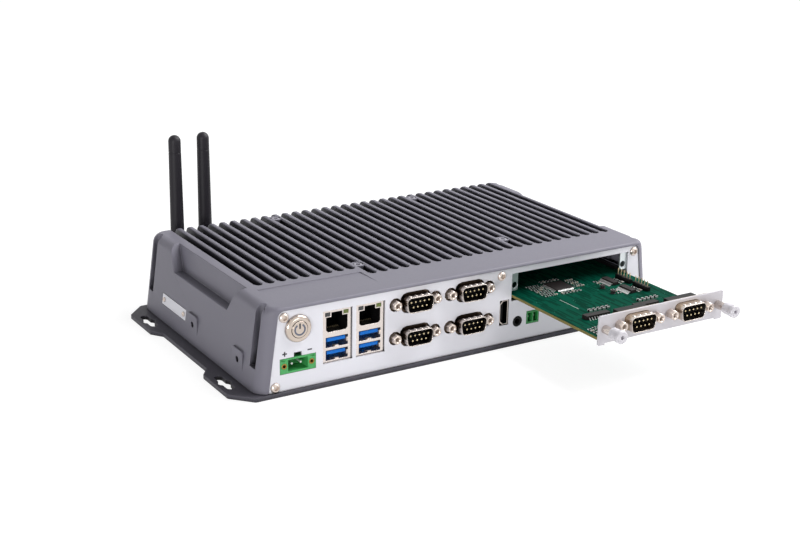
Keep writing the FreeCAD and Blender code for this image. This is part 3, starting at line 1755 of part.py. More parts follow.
def build():
    """Every node of the computer by name: one solid, or a list of like solids."""
    panel_ports = serial_group(serial_places, com_port_seat())
    card_places = [(x, card_port_z) for x in card_port_xs]
    card_ports = serial_group(card_places, bracket_back)
    com_screws = []
    for x, z in serial_places:
        seat = com_port_seat()
        tail = seat + flange_thickness + jack_screw_tail
        com_screws += jack_screws(x, z, seat, panel_jack_screw_length, tail)
    card_screws = []
    for x, z in card_places:
        tail = bracket_back + flange_thickness + jack_screw_tail
        card_screws += jack_screws(x, z, bracket_face, jack_screw_length, tail)
    nodes = {
        "base_plate": base_plate(),
        "housing": housing(),
        "front_panel": front_panel(),
        "rear_panel": rear_panel(),
        "panel_screws": panel_screws(),
        "base_plate_screws": base_plate_screws(),
        "heatsink_screws": heatsink_screws(),
        "reader_cover": reader_cover(),
        "reader_cover_screws": reader_cover_screws(),
        "mainboard": mainboard(),
        "mainboard_standoffs": mainboard_standoffs(),
        "mainboard_screws": mainboard_screws(),
        "cpu_package": cpu_package(),
        "heat_spreader": heat_spreader(),
        "memory_socket": memory_socket(),
        "memory_module": memory_module(),
        "storage_drive": storage_drive(),
        "coin_cell": coin_cell(),
        "power_button_body": power_button_body(),
        "power_button_nut": power_button_nut(),
        "power_button_cap": power_button_cap(),
        "dc_terminal": dc_terminal(),
        "dc_terminal_inserts": terminal_inserts(),
        "terminal_pins": terminal_pins(),
        "switch_terminal": switch_terminal(),
        "lan_usb_shells": lan_usb_shells(),
        "lan_jack_inserts": lan_jack_inserts(),
        "lan_lamps": lan_lamps(),
        "usb_tongues": usb_tongues(),
        "com_port_shells": panel_ports[0],
        "com_port_insulators": panel_ports[1],
        "com_port_pins": panel_ports[2],
        "com_port_jackscrews": com_screws,
        "video_port_shell": video_port_shell(),
        "video_port_tongue": video_port_tongue(),
        "audio_jack": audio_jack(),
        "card_tray": card_tray(),
        "card_tray_posts": card_tray_posts(),
        "card_guides": card_guides(),
        "card_socket": card_socket(),
        "card_riser": card_riser(),
        "card_bracket": card_bracket(),
        "card_board": card_board(),
        "card_main_chip": card_main_chip(),
        "card_line_drivers": card_line_drivers(),
        "card_pin_headers": card_pin_headers(),
        "card_header_pins": card_header_pins(),
        "card_small_parts": card_small_parts(),
        "card_port_shells": card_ports[0],
        "card_port_insulators": card_ports[1],
        "card_port_pins": card_ports[2],
        "card_jackscrews": card_screws,
        "thumbscrew_ferrules": thumbscrew_ferrules(),
        "thumbscrew_left": thumbscrew(thumb_xs[0]),
        "thumbscrew_right": thumbscrew(thumb_xs[1]),
        "antenna_jacks": [antenna_jack(x) for x in antenna_xs],
        "antenna_elbow_left": antenna_elbow(antenna_xs[0]),
        "antenna_elbow_right": antenna_elbow(antenna_xs[1]),
        "antenna_whip_left": antenna_whip(antenna_xs[0]),
        "antenna_whip_right": antenna_whip(antenna_xs[1]),
    }
    return nodes


os.makedirs("parts", exist_ok=True)
for name, shape in build().items():
    solid = Part.makeCompound(shape) if isinstance(shape, list) else shape
    solid.exportStep("parts/" + name + ".step")
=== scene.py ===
"""Looks of a fanless industrial mini computer with its serial card drawn out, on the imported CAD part."""

import logging
import math
from dataclasses import dataclass, field
from enum import Enum
from typing import Iterable, Optional, Sequence, Union

import bmesh
import bpy
from mathutils import Matrix, Vector


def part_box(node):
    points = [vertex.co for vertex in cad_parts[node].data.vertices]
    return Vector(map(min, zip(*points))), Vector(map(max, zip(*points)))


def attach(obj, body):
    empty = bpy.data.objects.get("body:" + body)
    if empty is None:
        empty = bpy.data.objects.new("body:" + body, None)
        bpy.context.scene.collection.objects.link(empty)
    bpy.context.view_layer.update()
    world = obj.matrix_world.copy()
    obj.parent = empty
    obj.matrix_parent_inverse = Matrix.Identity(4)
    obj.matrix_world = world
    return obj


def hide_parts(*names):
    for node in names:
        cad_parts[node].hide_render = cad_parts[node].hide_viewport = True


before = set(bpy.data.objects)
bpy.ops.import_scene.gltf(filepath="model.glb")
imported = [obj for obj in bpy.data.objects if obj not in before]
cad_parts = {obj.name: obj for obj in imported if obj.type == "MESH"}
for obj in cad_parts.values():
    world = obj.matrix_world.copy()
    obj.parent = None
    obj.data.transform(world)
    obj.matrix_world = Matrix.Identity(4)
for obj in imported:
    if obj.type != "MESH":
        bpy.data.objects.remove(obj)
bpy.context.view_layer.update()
# The classes below hold their sizes in millimetres, unless they say otherwise. Meshes are in metres.
MM = 0.001
# Points closer than these, in metres, are one: in a CAD mesh, in a turned mesh, and under softened edges.
CAD_GAP = 1e-6
SPIN_GAP = 1e-7
WELD_GAP = 2e-6
# Edges that turn by more than these, in degrees, stay sharp on a new piece and are softened on a CAD node.
SHARP_ANGLE = 38.0
SOFT_ANGLE = 31.0
# Share of the radius that is left in the grooves of a knurl.
KNURL_GROOVE = 0.965
# Lowest roughness that the grain leaves on a finish.
SMOOTHEST = 0.02
log = logging.getLogger("mini_computer")

Socket = bpy.types.NodeSocket
# What an input of a node takes.
Value = Union[float, tuple, Socket]


class Body(Enum):
    """The CAD bodies that pieces ride on."""

    COMPUTER = "computer"
    CARD = "card"
    BUTTON = "power_button"
    LEFT_THUMBSCREW = "left_thumbscrew"
    RIGHT_THUMBSCREW = "right_thumbscrew"
    LEFT_WHIP = "left_whip"
    RIGHT_WHIP = "right_whip"


class Section(Enum):
    """Shape of one level of a turned piece."""

    ROUND = "round"
    HEXAGON = "hexagon"
    KNURL = "knurl"


# Radius and height of one level of a turned piece in millimetres, and its section if it isn't round.
Level = Union[tuple[float, float], tuple[float, float, Section]]


class Facing(Enum):
    """Directions that turned pieces point in."""

    FRONT = (0, -1, 0)
    REAR = (0, 1, 0)
    UP = (0, 0, 1)


def linear(colour: str) -> tuple[float, float, float, float]:
    """Turn an sRGB hex colour into the linear colour that a shader takes.

    Args:
        colour: six hex digits after a hash sign.

    Returns:
        Linear red, green and blue, and an alpha of one.
    """
    parts = [int(colour[place:place + 2], 16) / 255 for place in (1, 3, 5)]
    lit = [part / 12.92 if part <= 0.04045 else ((part + 0.055) / 1.055) ** 2.4 for part in parts]
    return lit[0], lit[1], lit[2], 1.0


def add_node(
    tree: bpy.types.NodeTree,
    kind: str,
    inputs: Optional[dict[Union[str, int], Value]] = None,
    **settings: object,
) -> bpy.types.Node:
    """Add a node with its settings, and set or link its inputs.

    Args:
        tree: node tree that takes the node.
        kind: node type, without the word ShaderNode.
        inputs: value or output socket for each input, by name or number.
        settings: attributes of the node itself.

    Returns:
        The new node.
    """
    node = tree.nodes.new("ShaderNode" + kind)
    for name, setting in settings.items():
        setattr(node, name, setting)
    for key, value in (inputs or {}).items():
        if isinstance(value, Socket):
            tree.links.new(value, node.inputs[key])
        else:
            node.inputs[key].default_value = value
    return node


def per_mm(size: float) -> float:
    """Texture scale that repeats about once in a size given in millimetres."""
    return 1 / (size * MM)


@dataclass(frozen=True)
class Finish:
    """A surface as it was made: its colour, gloss, and the fine grain that breaks both up.

    The colour drifts slowly towards a second one, the grain spreads the gloss and lifts the surface.
    """

    name: str
    colour: str
    drift: str
    roughness: float
    metallic: float = 0.0
    drift_mm: float = 30.0
    grain_mm: float = 0.7
    grain_depth_mm: float = 0.01
    gloss_spread: float = 0.06
    coat: float = 0.0
    specular: float = 0.5

    def material(self) -> bpy.types.Material:
        """Make the material once, and give the same one from then on.

        Returns:
            The material.
        """
        made = bpy.data.materials.get(self.name)
        if made:
            return made
        made = bpy.data.materials.new(self.name)
        made.use_nodes = True
        tree = made.node_tree
        shader = tree.nodes["Principled BSDF"]
        shader.inputs["Metallic"].default_value = self.metallic
        shader.inputs["Coat Weight"].default_value = self.coat
        shader.inputs["Specular IOR Level"].default_value = self.specular
        place = add_node(tree, "TexCoord").outputs["Object"]
        tree.links.new(self.colour_of(tree, place), shader.inputs["Base Color"])
        self.surface(tree, place, shader)
        return made

    def colour_of(self, tree: bpy.types.NodeTree, place: Socket) -> Socket:
        """Draw the slow drift of the colour.

        Args:
            tree: node tree of the material.
            place: object coordinates.

        Returns:
            The colour.
        """
        slow = add_node(tree, "TexNoise", {"Vector": place, "Scale": per_mm(self.drift_mm), "Detail": 3.0})
        ends = {0: slow.outputs["Fac"], 6: linear(self.colour), 7: linear(self.drift)}
        return add_node(tree, "Mix", ends, data_type="RGBA").outputs[2]

    def surface(self, tree: bpy.types.NodeTree, place: Socket, shader: bpy.types.Node) -> None:
        """Spread the gloss and raise the grain.

        Args:
            tree: node tree of the material.
            place: object coordinates.
            shader: the shader that takes both.
        """
        grain = add_node(tree, "TexNoise", {"Vector": place, "Scale": per_mm(self.grain_mm), "Detail": 2.0})
        self.raise_grain(tree, grain.outputs["Fac"], shader)

    def raise_grain(self, tree: bpy.types.NodeTree, height: Socket, shader: bpy.types.Node) -> None:
        """Send one height to the gloss and to the bump.

        Args:
            tree: node tree of the material.
            height: height from 0 to 1.
            shader: the shader that takes both.
        """
        ends = {
            "Value": height,
            "To Min": max(self.roughness - self.gloss_spread, SMOOTHEST),
            "To Max": min(self.roughness + self.gloss_spread, 1.0),
        }
        gloss = add_node(tree, "MapRange", ends)
        tree.links.new(gloss.outputs["Result"], shader.inputs["Roughness"])
        lift = {"Height": height, "Distance": self.grain_depth_mm * MM, "Strength": 1.0}
        bump = add_node(tree, "Bump", lift)
        tree.links.new(bump.outputs["Normal"], shader.inputs["Normal"])


@dataclass(frozen=True)
class TurnedMetal(Finish):
    """Metal turned on a lathe: fine rings round an axis along Y, which draw the light into a fan.

    The centre of the rings is in metres, as the mesh is, and the waver says how far they stray from round.
    """

    centre: tuple[float, float, float] = (0.0, 0.0, 0.0)
    waver: float = 0.6

    def surface(self, tree: bpy.types.NodeTree, place: Socket, shader: bpy.types.Node) -> None:
        """Raise the lathe's rings instead of an even grain.

        Args:
            tree: node tree of the material.
            place: object coordinates.
            shader: the shader that takes them.
        """
        shift = tuple(-part for part in self.centre)
        centred = add_node(tree, "Mapping", {"Vector": place, "Location": shift})
        settings = {"wave_type": "RINGS", "rings_direction": "Y", "wave_profile": "SIN"}
        scale = per_mm(self.grain_mm) / math.tau
        inputs = {"Vector": centred.outputs["Vector"], "Scale": scale, "Distortion": self.waver}
        rings = add_node(tree, "TexWave", inputs, **settings)
        self.raise_grain(tree, rings.outputs["Fac"], shader)


@dataclass(frozen=True)
class BoardMask(Finish):
    """Solder mask on a glass-fibre board: copper runs show lighter through it, and the cut edge is tan.

    A band says where a colour starts and where it is full: for runs and vias by the distance from the middle
    of a cell, for the cut edge by the upright part of the surface's normal.
    """

    run: str = "#044535"
    via: str = "#4d8f7c"
    edge: str = "#80764a"
    run_mm: float = 1.5
    run_stretch: float = 9.0
    via_mm: float = 4.6
    run_band: tuple[float, float] = (0.36, 0.40)
    via_band: tuple[float, float] = (0.07, 0.05)
    edge_band: tuple[float, float] = (0.6, 0.4)

    def colour_of(self, tree: bpy.types.NodeTree, place: Socket) -> Socket:
        """Draw copper runs along the board and round vias under the mask, and bare edges.

        Args:
            tree: node tree of the material.
            place: object coordinates.

        Returns:
            The colour.
        """
        colour = super().colour_of(tree, place)
        drawn_out = {"Vector": place, "Scale": (1.0, 1.0 / self.run_stretch, 1.0)}
        along = add_node(tree, "Mapping", drawn_out).outputs["Vector"]
        cells = {"Vector": along, "Scale": per_mm(self.run_mm), "Randomness": 0.9}
        square = {"feature": "F1", "distance": "CHEBYCHEV", "voronoi_dimensions": "3D"}
        runs = add_node(tree, "TexVoronoi", cells, **square).outputs["Distance"]
        holes = {"Vector": place, "Scale": per_mm(self.via_mm), "Randomness": 1.0}
        vias = add_node(tree, "TexVoronoi", holes, feature="F1", voronoi_dimensions="3D").outputs["Distance"]
        normal = add_node(tree, "TexCoord").outputs["Normal"]
        upright = add_node(tree, "SeparateXYZ", {0: normal}).outputs["Z"]
        level = add_node(tree, "Math", {0: upright}, operation="ABSOLUTE").outputs[0]
        layers = [(runs, self.run_band, self.run), (vias, self.via_band, self.via)]
        layers.append((level, self.edge_band, self.edge))
        for measure, band, paint in layers:
            ends = {"Value": measure, "From Min": band[0], "From Max": band[1]}
            share = add_node(tree, "MapRange", ends).outputs["Result"]
            colours = {0: share, 6: colour, 7: linear(paint)}
            colour = add_node(tree, "Mix", colours, data_type="RGBA").outputs[2]
        return colour


@dataclass(frozen=True)
class ShadedMetal(Finish):
    """Bright metal with painted shade where it stands back in a port, along Y.

    The place behind which the painted shade is full is in metres, as the mesh is.
    """

    behind: float = 0.0
    fade_mm: float = 0.3
    # Colour of the painted shade.
    dark: str = "#171513"

    def colour_of(self, tree: bpy.types.NodeTree, place: Socket) -> Socket:
        """Paint shade onto the metal behind its mouth.

        Args:
            tree: node tree of the material.
            place: object coordinates.

        Returns:
            The colour.
        """
        plated = super().colour_of(tree, place)
        depth = add_node(tree, "SeparateXYZ", {0: place}).outputs["Y"]
        ends = {"Value": depth, "From Min": self.behind - self.fade_mm * MM, "From Max": self.behind}
        share = add_node(tree, "MapRange", ends).outputs["Result"]
        colours = {0: share, 6: plated, 7: linear(self.dark)}
        return add_node(tree, "Mix", colours, data_type="RGBA").outputs[2]


@dataclass(frozen=True)
class RecessShadedPaint(Finish):
    """Paint with painted shade in fin gaps, screw wells, port gaps and seams, where little light comes in.

    The painted shade is darkest where less than the closed share of what is round it is open, and the paint
    is plain above the opened share.
    """

    reach_mm: float = 7.5
    closed: float = 0.34
    opened: float = 0.8
    # Colour of the painted shade.
    dark: str = "#08070a"

    def colour_of(self, tree: bpy.types.NodeTree, place: Socket) -> Socket:
        """Paint shade onto the paint where the surface is closed in.

        Args:
            tree: node tree of the material.
            place: object coordinates.

        Returns:
            The colour.
        """
        painted = super().colour_of(tree, place)
        around = add_node(tree, "AmbientOcclusion", {"Distance": self.reach_mm * MM}, samples=8)
        ends = {"Value": around.outputs["AO"], "From Min": self.closed, "From Max": self.opened}
        share = add_node(tree, "MapRange", ends).outputs["Result"]
        colours = {0: share, 6: linear(self.dark), 7: painted}
        return add_node(tree, "Mix", colours, data_type="RGBA").outputs[2]


# The grain of every finish below is finer on the real surface, and is drawn as coarse as it needs to show.

# Powder coat on die-cast aluminium: a satin skin with a soft orange peel that blurs each highlight.
# The peel is about 0.4 mm across on the real skin, and is drawn at 1.1 mm so that it shows.
# Painted shade darkens it in the fin gaps, the screw wells and the seam with the base plate.
CAST_PAINT = RecessShadedPaint(
    "powder_coated_cast_aluminium", "#76747f", "#7a7883", roughness=0.42, specular=0.2,
    drift_mm=45.0, grain_mm=1.1, grain_depth_mm=0.008, gloss_spread=0.06,
)
# The same powder on rolled steel, flatter and a little darker.
# Painted shade darkens it along the housing's foot and in its recesses.
BASE_PAINT = RecessShadedPaint(
    "powder_coated_sheet_steel", "#54525b", "#59575f", roughness=0.48, specular=0.2,
    drift_mm=45.0, grain_mm=1.1, grain_depth_mm=0.008, gloss_spread=0.06,
)
# Matt silver stoving paint on steel sheet: fine flake that goes from white to blue-grey with the light.
# The flake is under 0.1 mm, and is drawn at 0.6 mm so that it shows.
# Painted shade darkens it in the narrow gaps round the ports.
PANEL_SILVER = RecessShadedPaint(
    "silver_stoving_paint", "#d8d8df", "#dedde4", roughness=0.4, metallic=0.2,
    drift_mm=60.0, grain_mm=0.6, grain_depth_mm=0.003, gloss_spread=0.05,
    reach_mm=1.6, closed=0.35, opened=0.7, dark="#241e1c",
)
# The same paint on the card's bracket, duller and greyer.
BRACKET_SILVER = Finish(
    "silver_paint_on_bracket", "#c2bfc5", "#c8c5cb", roughness=0.45, metallic=0.1,
    drift_mm=40.0, grain_mm=0.6, grain_depth_mm=0.003, gloss_spread=0.05,
)
# Bright zinc on folded steel: pale, faintly cloudy.
SHEET_ZINC = Finish(
    "zinc_plated_sheet_steel", "#d3d8d9", "#c6ced1", roughness=0.33, metallic=0.85,
    drift_mm=9.0, grain_mm=0.8, grain_depth_mm=0.002, gloss_spread=0.09,
)
# Nickel over pressed steel: warm, bright and slightly soft.
NICKEL = Finish(
    "nickel_plated_steel", "#cfc6bf", "#c4bab2", roughness=0.2, metallic=1.0,
    drift_mm=12.0, grain_mm=0.9, grain_depth_mm=0.002, gloss_spread=0.06,
)
# Bright nickel on turned screws: warm grey with small, soft glints.
SCREW_NICKEL = Finish(
    "bright_nickel_screw", "#d3c7be", "#c9bcb3", roughness=0.32, metallic=0.85,
    drift_mm=4.0, grain_mm=0.5, grain_depth_mm=0.002, gloss_spread=0.05,
)
# Tin over brass sheet, as on shielded jacks: grey-white, less sharp than nickel.
TIN = Finish(
    "tin_plated_brass_sheet", "#dad1cc", "#cfc5bf", roughness=0.28, metallic=1.0,
    drift_mm=8.0, grain_mm=0.7, grain_depth_mm=0.002, gloss_spread=0.08,
)
# Satin nickel of the thumbscrews, blasted so that it is nearly white.
SATIN_NICKEL = Finish(
    "satin_nickel_thumbscrew", "#cfccd2", "#c8c5cb", roughness=0.45, metallic=0.2,
    drift_mm=6.0, grain_mm=0.4, grain_depth_mm=0.002, gloss_spread=0.05,
)
# Grey zinc flake on the roof screws: as dull as the paint round them.
ROOF_SCREW = Finish(
    "zinc_flake_steel", "#8f8d97", "#98969f", roughness=0.45, metallic=0.1,
    drift_mm=5.0, grain_mm=0.5, grain_depth_mm=0.003, gloss_spread=0.08,
)
# Black oxide on the corner screws: near black with a faint metal sheen.
BLACK_SCREW = Finish(
    "black_oxide_steel", "#3e3d42", "#48474c", roughness=0.38, metallic=0.7,
    drift_mm=5.0, grain_mm=0.5, grain_depth_mm=0.003, gloss_spread=0.08,
)
# Glass-filled nylon, moulded: black with a dull skin that mirrors little.
BLACK_PLASTIC = Finish(
    "moulded_black_nylon", "#0d0c0d", "#121112", roughness=0.42, specular=0.14,
    drift_mm=10.0, grain_mm=0.5, grain_depth_mm=0.004, gloss_spread=0.08,
)
# Moulded green nylon of plug-in terminals: fresh green with a soft sheen.
GREEN_PLASTIC = Finish(
    "moulded_green_nylon", "#3c9a52", "#44a159", roughness=0.36,
    drift_mm=8.0, grain_mm=0.5, grain_depth_mm=0.004, gloss_spread=0.06,
)
# The same nylon in a deeper green, for the switch terminal.
DEEP_GREEN = Finish(
    "moulded_deep_green_nylon", "#22803c", "#2a8843", roughness=0.36,
    drift_mm=8.0, grain_mm=0.5, grain_depth_mm=0.004, gloss_spread=0.06,
)
# Moulded blue nylon of the bus ports' tongues: strong blue that mirrors little.
BLUE_PLASTIC = Finish(
    "moulded_blue_nylon", "#0668c6", "#0b70ce", roughness=0.36, specular=0.2,
    drift_mm=6.0, grain_mm=0.5, grain_depth_mm=0.003, gloss_spread=0.06,
)
# Flash gold over nickel on the pins: pale straw-coloured glints.
GOLD = Finish(
    "gold_flashed_pin", "#dccba6", "#d0bd92", roughness=0.3, metallic=0.6,
    drift_mm=3.0, grain_mm=0.4, grain_depth_mm=0.001, gloss_spread=0.05,
)
# Turned brass of inserts, standoffs and antenna jacks: brown-yellow and half bright.
BRASS = Finish(
    "turned_brass", "#ab8845", "#97763c", roughness=0.36, metallic=1.0,
    drift_mm=3.0, grain_mm=0.4, grain_depth_mm=0.002, gloss_spread=0.07,
)
# Matt solder mask on the boards: deep green with hardly a highlight.
CARD_MASK = BoardMask(
    "green_solder_mask", "#013427", "#012d21", roughness=0.55, specular=0.015,
    drift_mm=22.0, grain_mm=0.9, grain_depth_mm=0.003, gloss_spread=0.06,
)
# Epoxy of moulded chips: brown-black and dull, with a fine spark-eroded skin.
EPOXY = Finish(
    "moulded_chip_epoxy", "#161212", "#1d1818", roughness=0.6, specular=0.25,
    drift_mm=6.0, grain_mm=0.35, grain_depth_mm=0.006, gloss_spread=0.08,
)
# Tinned copper leads and solder: pale grey, half bright.
SOLDER = Finish(
    "tinned_lead", "#dcdcda", "#cccdcc", roughness=0.32, metallic=0.6,
    drift_mm=3.0, grain_mm=0.4, grain_depth_mm=0.002, gloss_spread=0.08,
)
# Fired ceramic of chip capacitors: tan and dull.
CERAMIC = Finish(
    "fired_ceramic", "#8d8270", "#7f7462", roughness=0.5,
    drift_mm=2.0, grain_mm=0.3, grain_depth_mm=0.003, gloss_spread=0.06,
)
# Moulded lenses of the jacks' lamps, unlit: smoky and lime, with a wet gloss.
LENS_CLEAR = Finish(
    "clear_lamp_lens", "#2b2b2d", "#232325", roughness=0.18, coat=0.4,
    drift_mm=2.0, grain_mm=0.5, grain_depth_mm=0.002, gloss_spread=0.04,
)
LENS_LIME = Finish(
    "lime_lamp_lens", "#5f6d1c", "#525f17", roughness=0.18, coat=0.4,
    drift_mm=2.0, grain_mm=0.5, grain_depth_mm=0.002, gloss_spread=0.04,
)
# Rolled aluminium of the hidden heat spreader: plain grey metal with a blurred mirror.
ALUMINIUM = Finish(
    "rolled_aluminium", "#c4c6c8", "#b9bbbe", roughness=0.35, metallic=1.0,
    drift_mm=14.0, grain_mm=0.6, grain_depth_mm=0.002, gloss_spread=0.08,
)
# Thermoplastic rubber of the antennas: black with a dull bloom.
RUBBER = Finish(
    "thermoplastic_rubber", "#141118", "#19161d", roughness=0.5, specular=0.28,
    drift_mm=14.0, grain_mm=0.6, grain_depth_mm=0.006, gloss_spread=0.07,
)
# White screen print on the board: chalky, with some of the green under it.
PRINT = Finish(
    "white_screen_print", "#b9c8c0", "#a9bab2", roughness=0.6,
    drift_mm=3.0, grain_mm=0.4, grain_depth_mm=0.001, gloss_spread=0.04,
)
# Screen-printed ink of the signs, dark grey and flat, and the button's frosted lamp ring, blue-grey.
INK = Finish(
    "printed_grey_ink", "#2a2b2f", "#313238", roughness=0.5,
    drift_mm=3.0, grain_mm=0.4, grain_depth_mm=0.001, gloss_spread=0.04,
)
LAMP_RING = Finish(
    "frosted_lamp_ring", "#525869", "#5b6172", roughness=0.4,
    drift_mm=3.0, grain_mm=0.4, grain_depth_mm=0.001, gloss_spread=0.04,
)


def solids_of(node: str) -> list[tuple[Vector, Vector]]:
    """Find the separate solids of a CAD node, so that details go where the CAD has them.

    Args:
        node: name of the node.

    Returns:
        Lowest and highest corner of each solid, from left to right and then from low to high.
    """
    mesh = bmesh.new()
    mesh.from_mesh(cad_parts[node].data)
    bmesh.ops.remove_doubles(mesh, verts=mesh.verts, dist=CAD_GAP)
    left = set(mesh.verts)
    boxes = []
    while left:
        reached = [left.pop()]
        island = []
        while reached:
            vert = reached.pop()
            island.append(vert.co.copy())
            for edge in vert.link_edges:
                other = edge.other_vert(vert)
                if other in left:
                    left.remove(other)
                    reached.append(other)
        low = Vector([min(point[axis] for point in island) for axis in range(3)])
        high = Vector([max(point[axis] for point in island) for axis in range(3)])
        boxes.append((low, high))
    mesh.free()
    return sorted(boxes, key=lambda box: (round(box[0].x, 5), round(box[0].z, 5), round(box[0].y, 5)))


def middle(box: tuple[Vector, Vector]) -> Vector:
    """Middle of a box given by two corners."""
    return (box[0] + box[1]) / 2


def turned(profile: Sequence[Level], steps: int) -> bmesh.types.BMesh:
    """Spin a profile round Z, and press chosen levels into a hexagon or a knurl.

    Args:
        profile: the levels from one end to the other.
        steps: number of steps in the turn.

    Returns:
        The closed turned mesh, in metres.
    """
    mesh = bmesh.new()
    levels = [mesh.verts.new((level[0] * MM, 0, level[1] * MM)) for level in profile]
    edges = [mesh.edges.new(pair) for pair in zip(levels, levels[1:])]
    centre = Vector((0, 0, 0))
    axis = Vector((0, 0, 1))
    bmesh.ops.spin(
        mesh, geom=levels + edges, cent=centre, axis=axis, angle=math.tau, steps=steps, use_merge=True
    )
    bmesh.ops.remove_doubles(mesh, verts=mesh.verts, dist=SPIN_GAP)
    shaped = {(round(level[0], 3), round(level[1], 3)): level[2] for level in profile if len(level) > 2}
    for vert in mesh.verts:
        radius = math.hypot(vert.co.x, vert.co.y)
        section = shaped.get((round(radius / MM, 3), round(vert.co.z / MM, 3)), Section.ROUND)
        angle = math.atan2(vert.co.y, vert.co.x)
        if section is Section.HEXAGON:
            off_flat = (angle + math.pi / 6) % (math.pi / 3) - math.pi / 6
            scale = math.cos(math.pi / 6) / math.cos(off_flat)
        elif section is Section.KNURL:
            scale = KNURL_GROOVE if round(angle / math.tau * steps) % 2 else 1.0
        else:
            continue
        vert.co.x *= scale
        vert.co.y *= scale
    bmesh.ops.recalc_face_normals(mesh, faces=mesh.faces)
    return mesh


def aim(mesh: bmesh.types.BMesh, place: Vector, facing: Facing) -> bmesh.types.BMesh:
    """Move a mesh made along Z to its place, so that its Z points the way it faces.

    Args:
        mesh: mesh made about the origin.
        place: where the origin goes.
        facing: where Z goes.

    Returns:
        The same mesh.
    """
    turn = Vector((0, 0, 1)).rotation_difference(Vector(facing.value)).to_matrix().to_4x4()
    bmesh.ops.transform(mesh, matrix=Matrix.Translation(place) @ turn, verts=mesh.verts)
    return mesh


def block(low: Sequence[float], high: Sequence[float], edge: float = 0.0) -> bmesh.types.BMesh:
    """Make a block between two corners with softened edges.

    Args:
        low: lowest corner in metres.
        high: highest corner in metres.
        edge: width of the softened edges in metres.

    Returns:
        The block's mesh.
    """
    mesh = bmesh.new()
    size = Vector(high) - Vector(low)
    place = Matrix.Translation((Vector(low) + Vector(high)) / 2) @ Matrix.Diagonal((*size, 1.0))
    bmesh.ops.create_cube(mesh, size=1.0, matrix=place)
    if edge:
        bmesh.ops.bevel(
            mesh, geom=mesh.edges[:], offset=edge, offset_type="OFFSET", segments=2, profile=0.5,
            affect="EDGES", material=-1,
        )
    return mesh


def gather(meshes: Iterable[bmesh.types.BMesh], material: int = 0) -> bmesh.types.BMesh:
    """Put several meshes into one.

    Args:
        meshes: meshes to take, which are freed.
        material: material number for all their faces.

    Returns:
        One mesh with all of them.
    """
    whole = bmesh.new()
    carrier = bpy.data.meshes.new("carrier")
    for mesh in meshes:
        mesh.to_mesh(carrier)
        mesh.free()
        whole.from_mesh(carrier)
    bpy.data.meshes.remove(carrier)
    for face in whole.faces:
        face.material_index = material
    return whole


def mixed(groups: Iterable[Iterable[bmesh.types.BMesh]]) -> bmesh.types.BMesh:
    """Put groups of meshes into one, each group with the next material number.

    Args:
        groups: groups of meshes to take, which are freed.

    Returns:
        One mesh with all of them.
    """
    whole = bmesh.new()
    carrier = bpy.data.meshes.new("carrier")
    for number, group in enumerate(groups):
        part = gather(group, number)
        part.to_mesh(carrier)
        part.free()
        whole.from_mesh(carrier)
    bpy.data.meshes.remove(carrier)
    return whole


def piece(
    name: str,
    mesh: bmesh.types.BMesh,
    finishes: Sequence[Finish],
    body: Body,
    nodes: Sequence[str] = (),
) -> bpy.types.Object:
    """Make a finished piece that rides on a body.

    Args:
        name: name of the piece.
        mesh: its mesh, which is freed.
        finishes: its finishes, in the order of the material numbers.
        body: the body that carries it.
        nodes: CAD nodes that it stands for.

    Returns:
        The new object.
    """
    data = bpy.data.meshes.new(name)
    mesh.to_mesh(data)
    mesh.free()
    data.shade_smooth()
    data.set_sharp_from_angle(angle=math.radians(SHARP_ANGLE))
    made = bpy.data.objects.new(name, data)
    bpy.context.scene.collection.objects.link(made)
    for finish in finishes:
        data.materials.append(finish.material())
    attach(made, body.value)
    if nodes:
        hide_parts(*nodes)
    log.info("piece %s: %d faces", name, len(data.polygons))
    return made


def dress(node: str, finish: Finish, edge_mm: float = 0.2, segments: int = 2) -> None:
    """Give a CAD node its finish, and soften its edges with modifiers.

    Args:
        node: name of the node.
        finish: finish for the whole node.
        edge_mm: width of the softened edges in millimetres, or zero for none.
        segments: steps across a softened edge.
    """
    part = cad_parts[node]
    part.data.materials.clear()
    part.data.materials.append(finish.material())
    log.info("node %s: %s", node, finish.name)
    if not edge_mm:
        return
    if "custom_normal" in part.data.attributes:
        part.data.attributes.remove(part.data.attributes["custom_normal"])
    part.data.shade_smooth()
    weld = part.modifiers.new("weld", "WELD")
    weld.merge_threshold = WELD_GAP
    soft = part.modifiers.new("soft edges", "BEVEL")
    soft.width = edge_mm * MM
    soft.segments = segments
    soft.limit_method = "ANGLE"
    soft.angle_limit = math.radians(SOFT_ANGLE)
    soft.use_clamp_overlap = False
    soft.loop_slide = False
    soft.miter_outer = "MITER_ARC"
    part.modifiers.new("even normals", "WEIGHTED_NORMAL")


@dataclass(frozen=True)
class HexSocket:
    """Hexagon socket in the end of a screw, in millimetres."""

    radius: float
    depth: float
    lip: float
    chamfer: float

    def profile(self, rise: float) -> list[Level]:
        """Draw the socket from its rim to the middle of its floor.

        Args:
            rise: height of the screw's end in millimetres.

        Returns:
            The last levels of the screw's profile.
        """
        floor = rise - self.depth
        rim = (self.radius + self.lip, rise)
        edge = (self.radius, rise - self.chamfer, Section.HEXAGON)
        return [rim, edge, (self.radius, floor, Section.HEXAGON), (0, floor)]


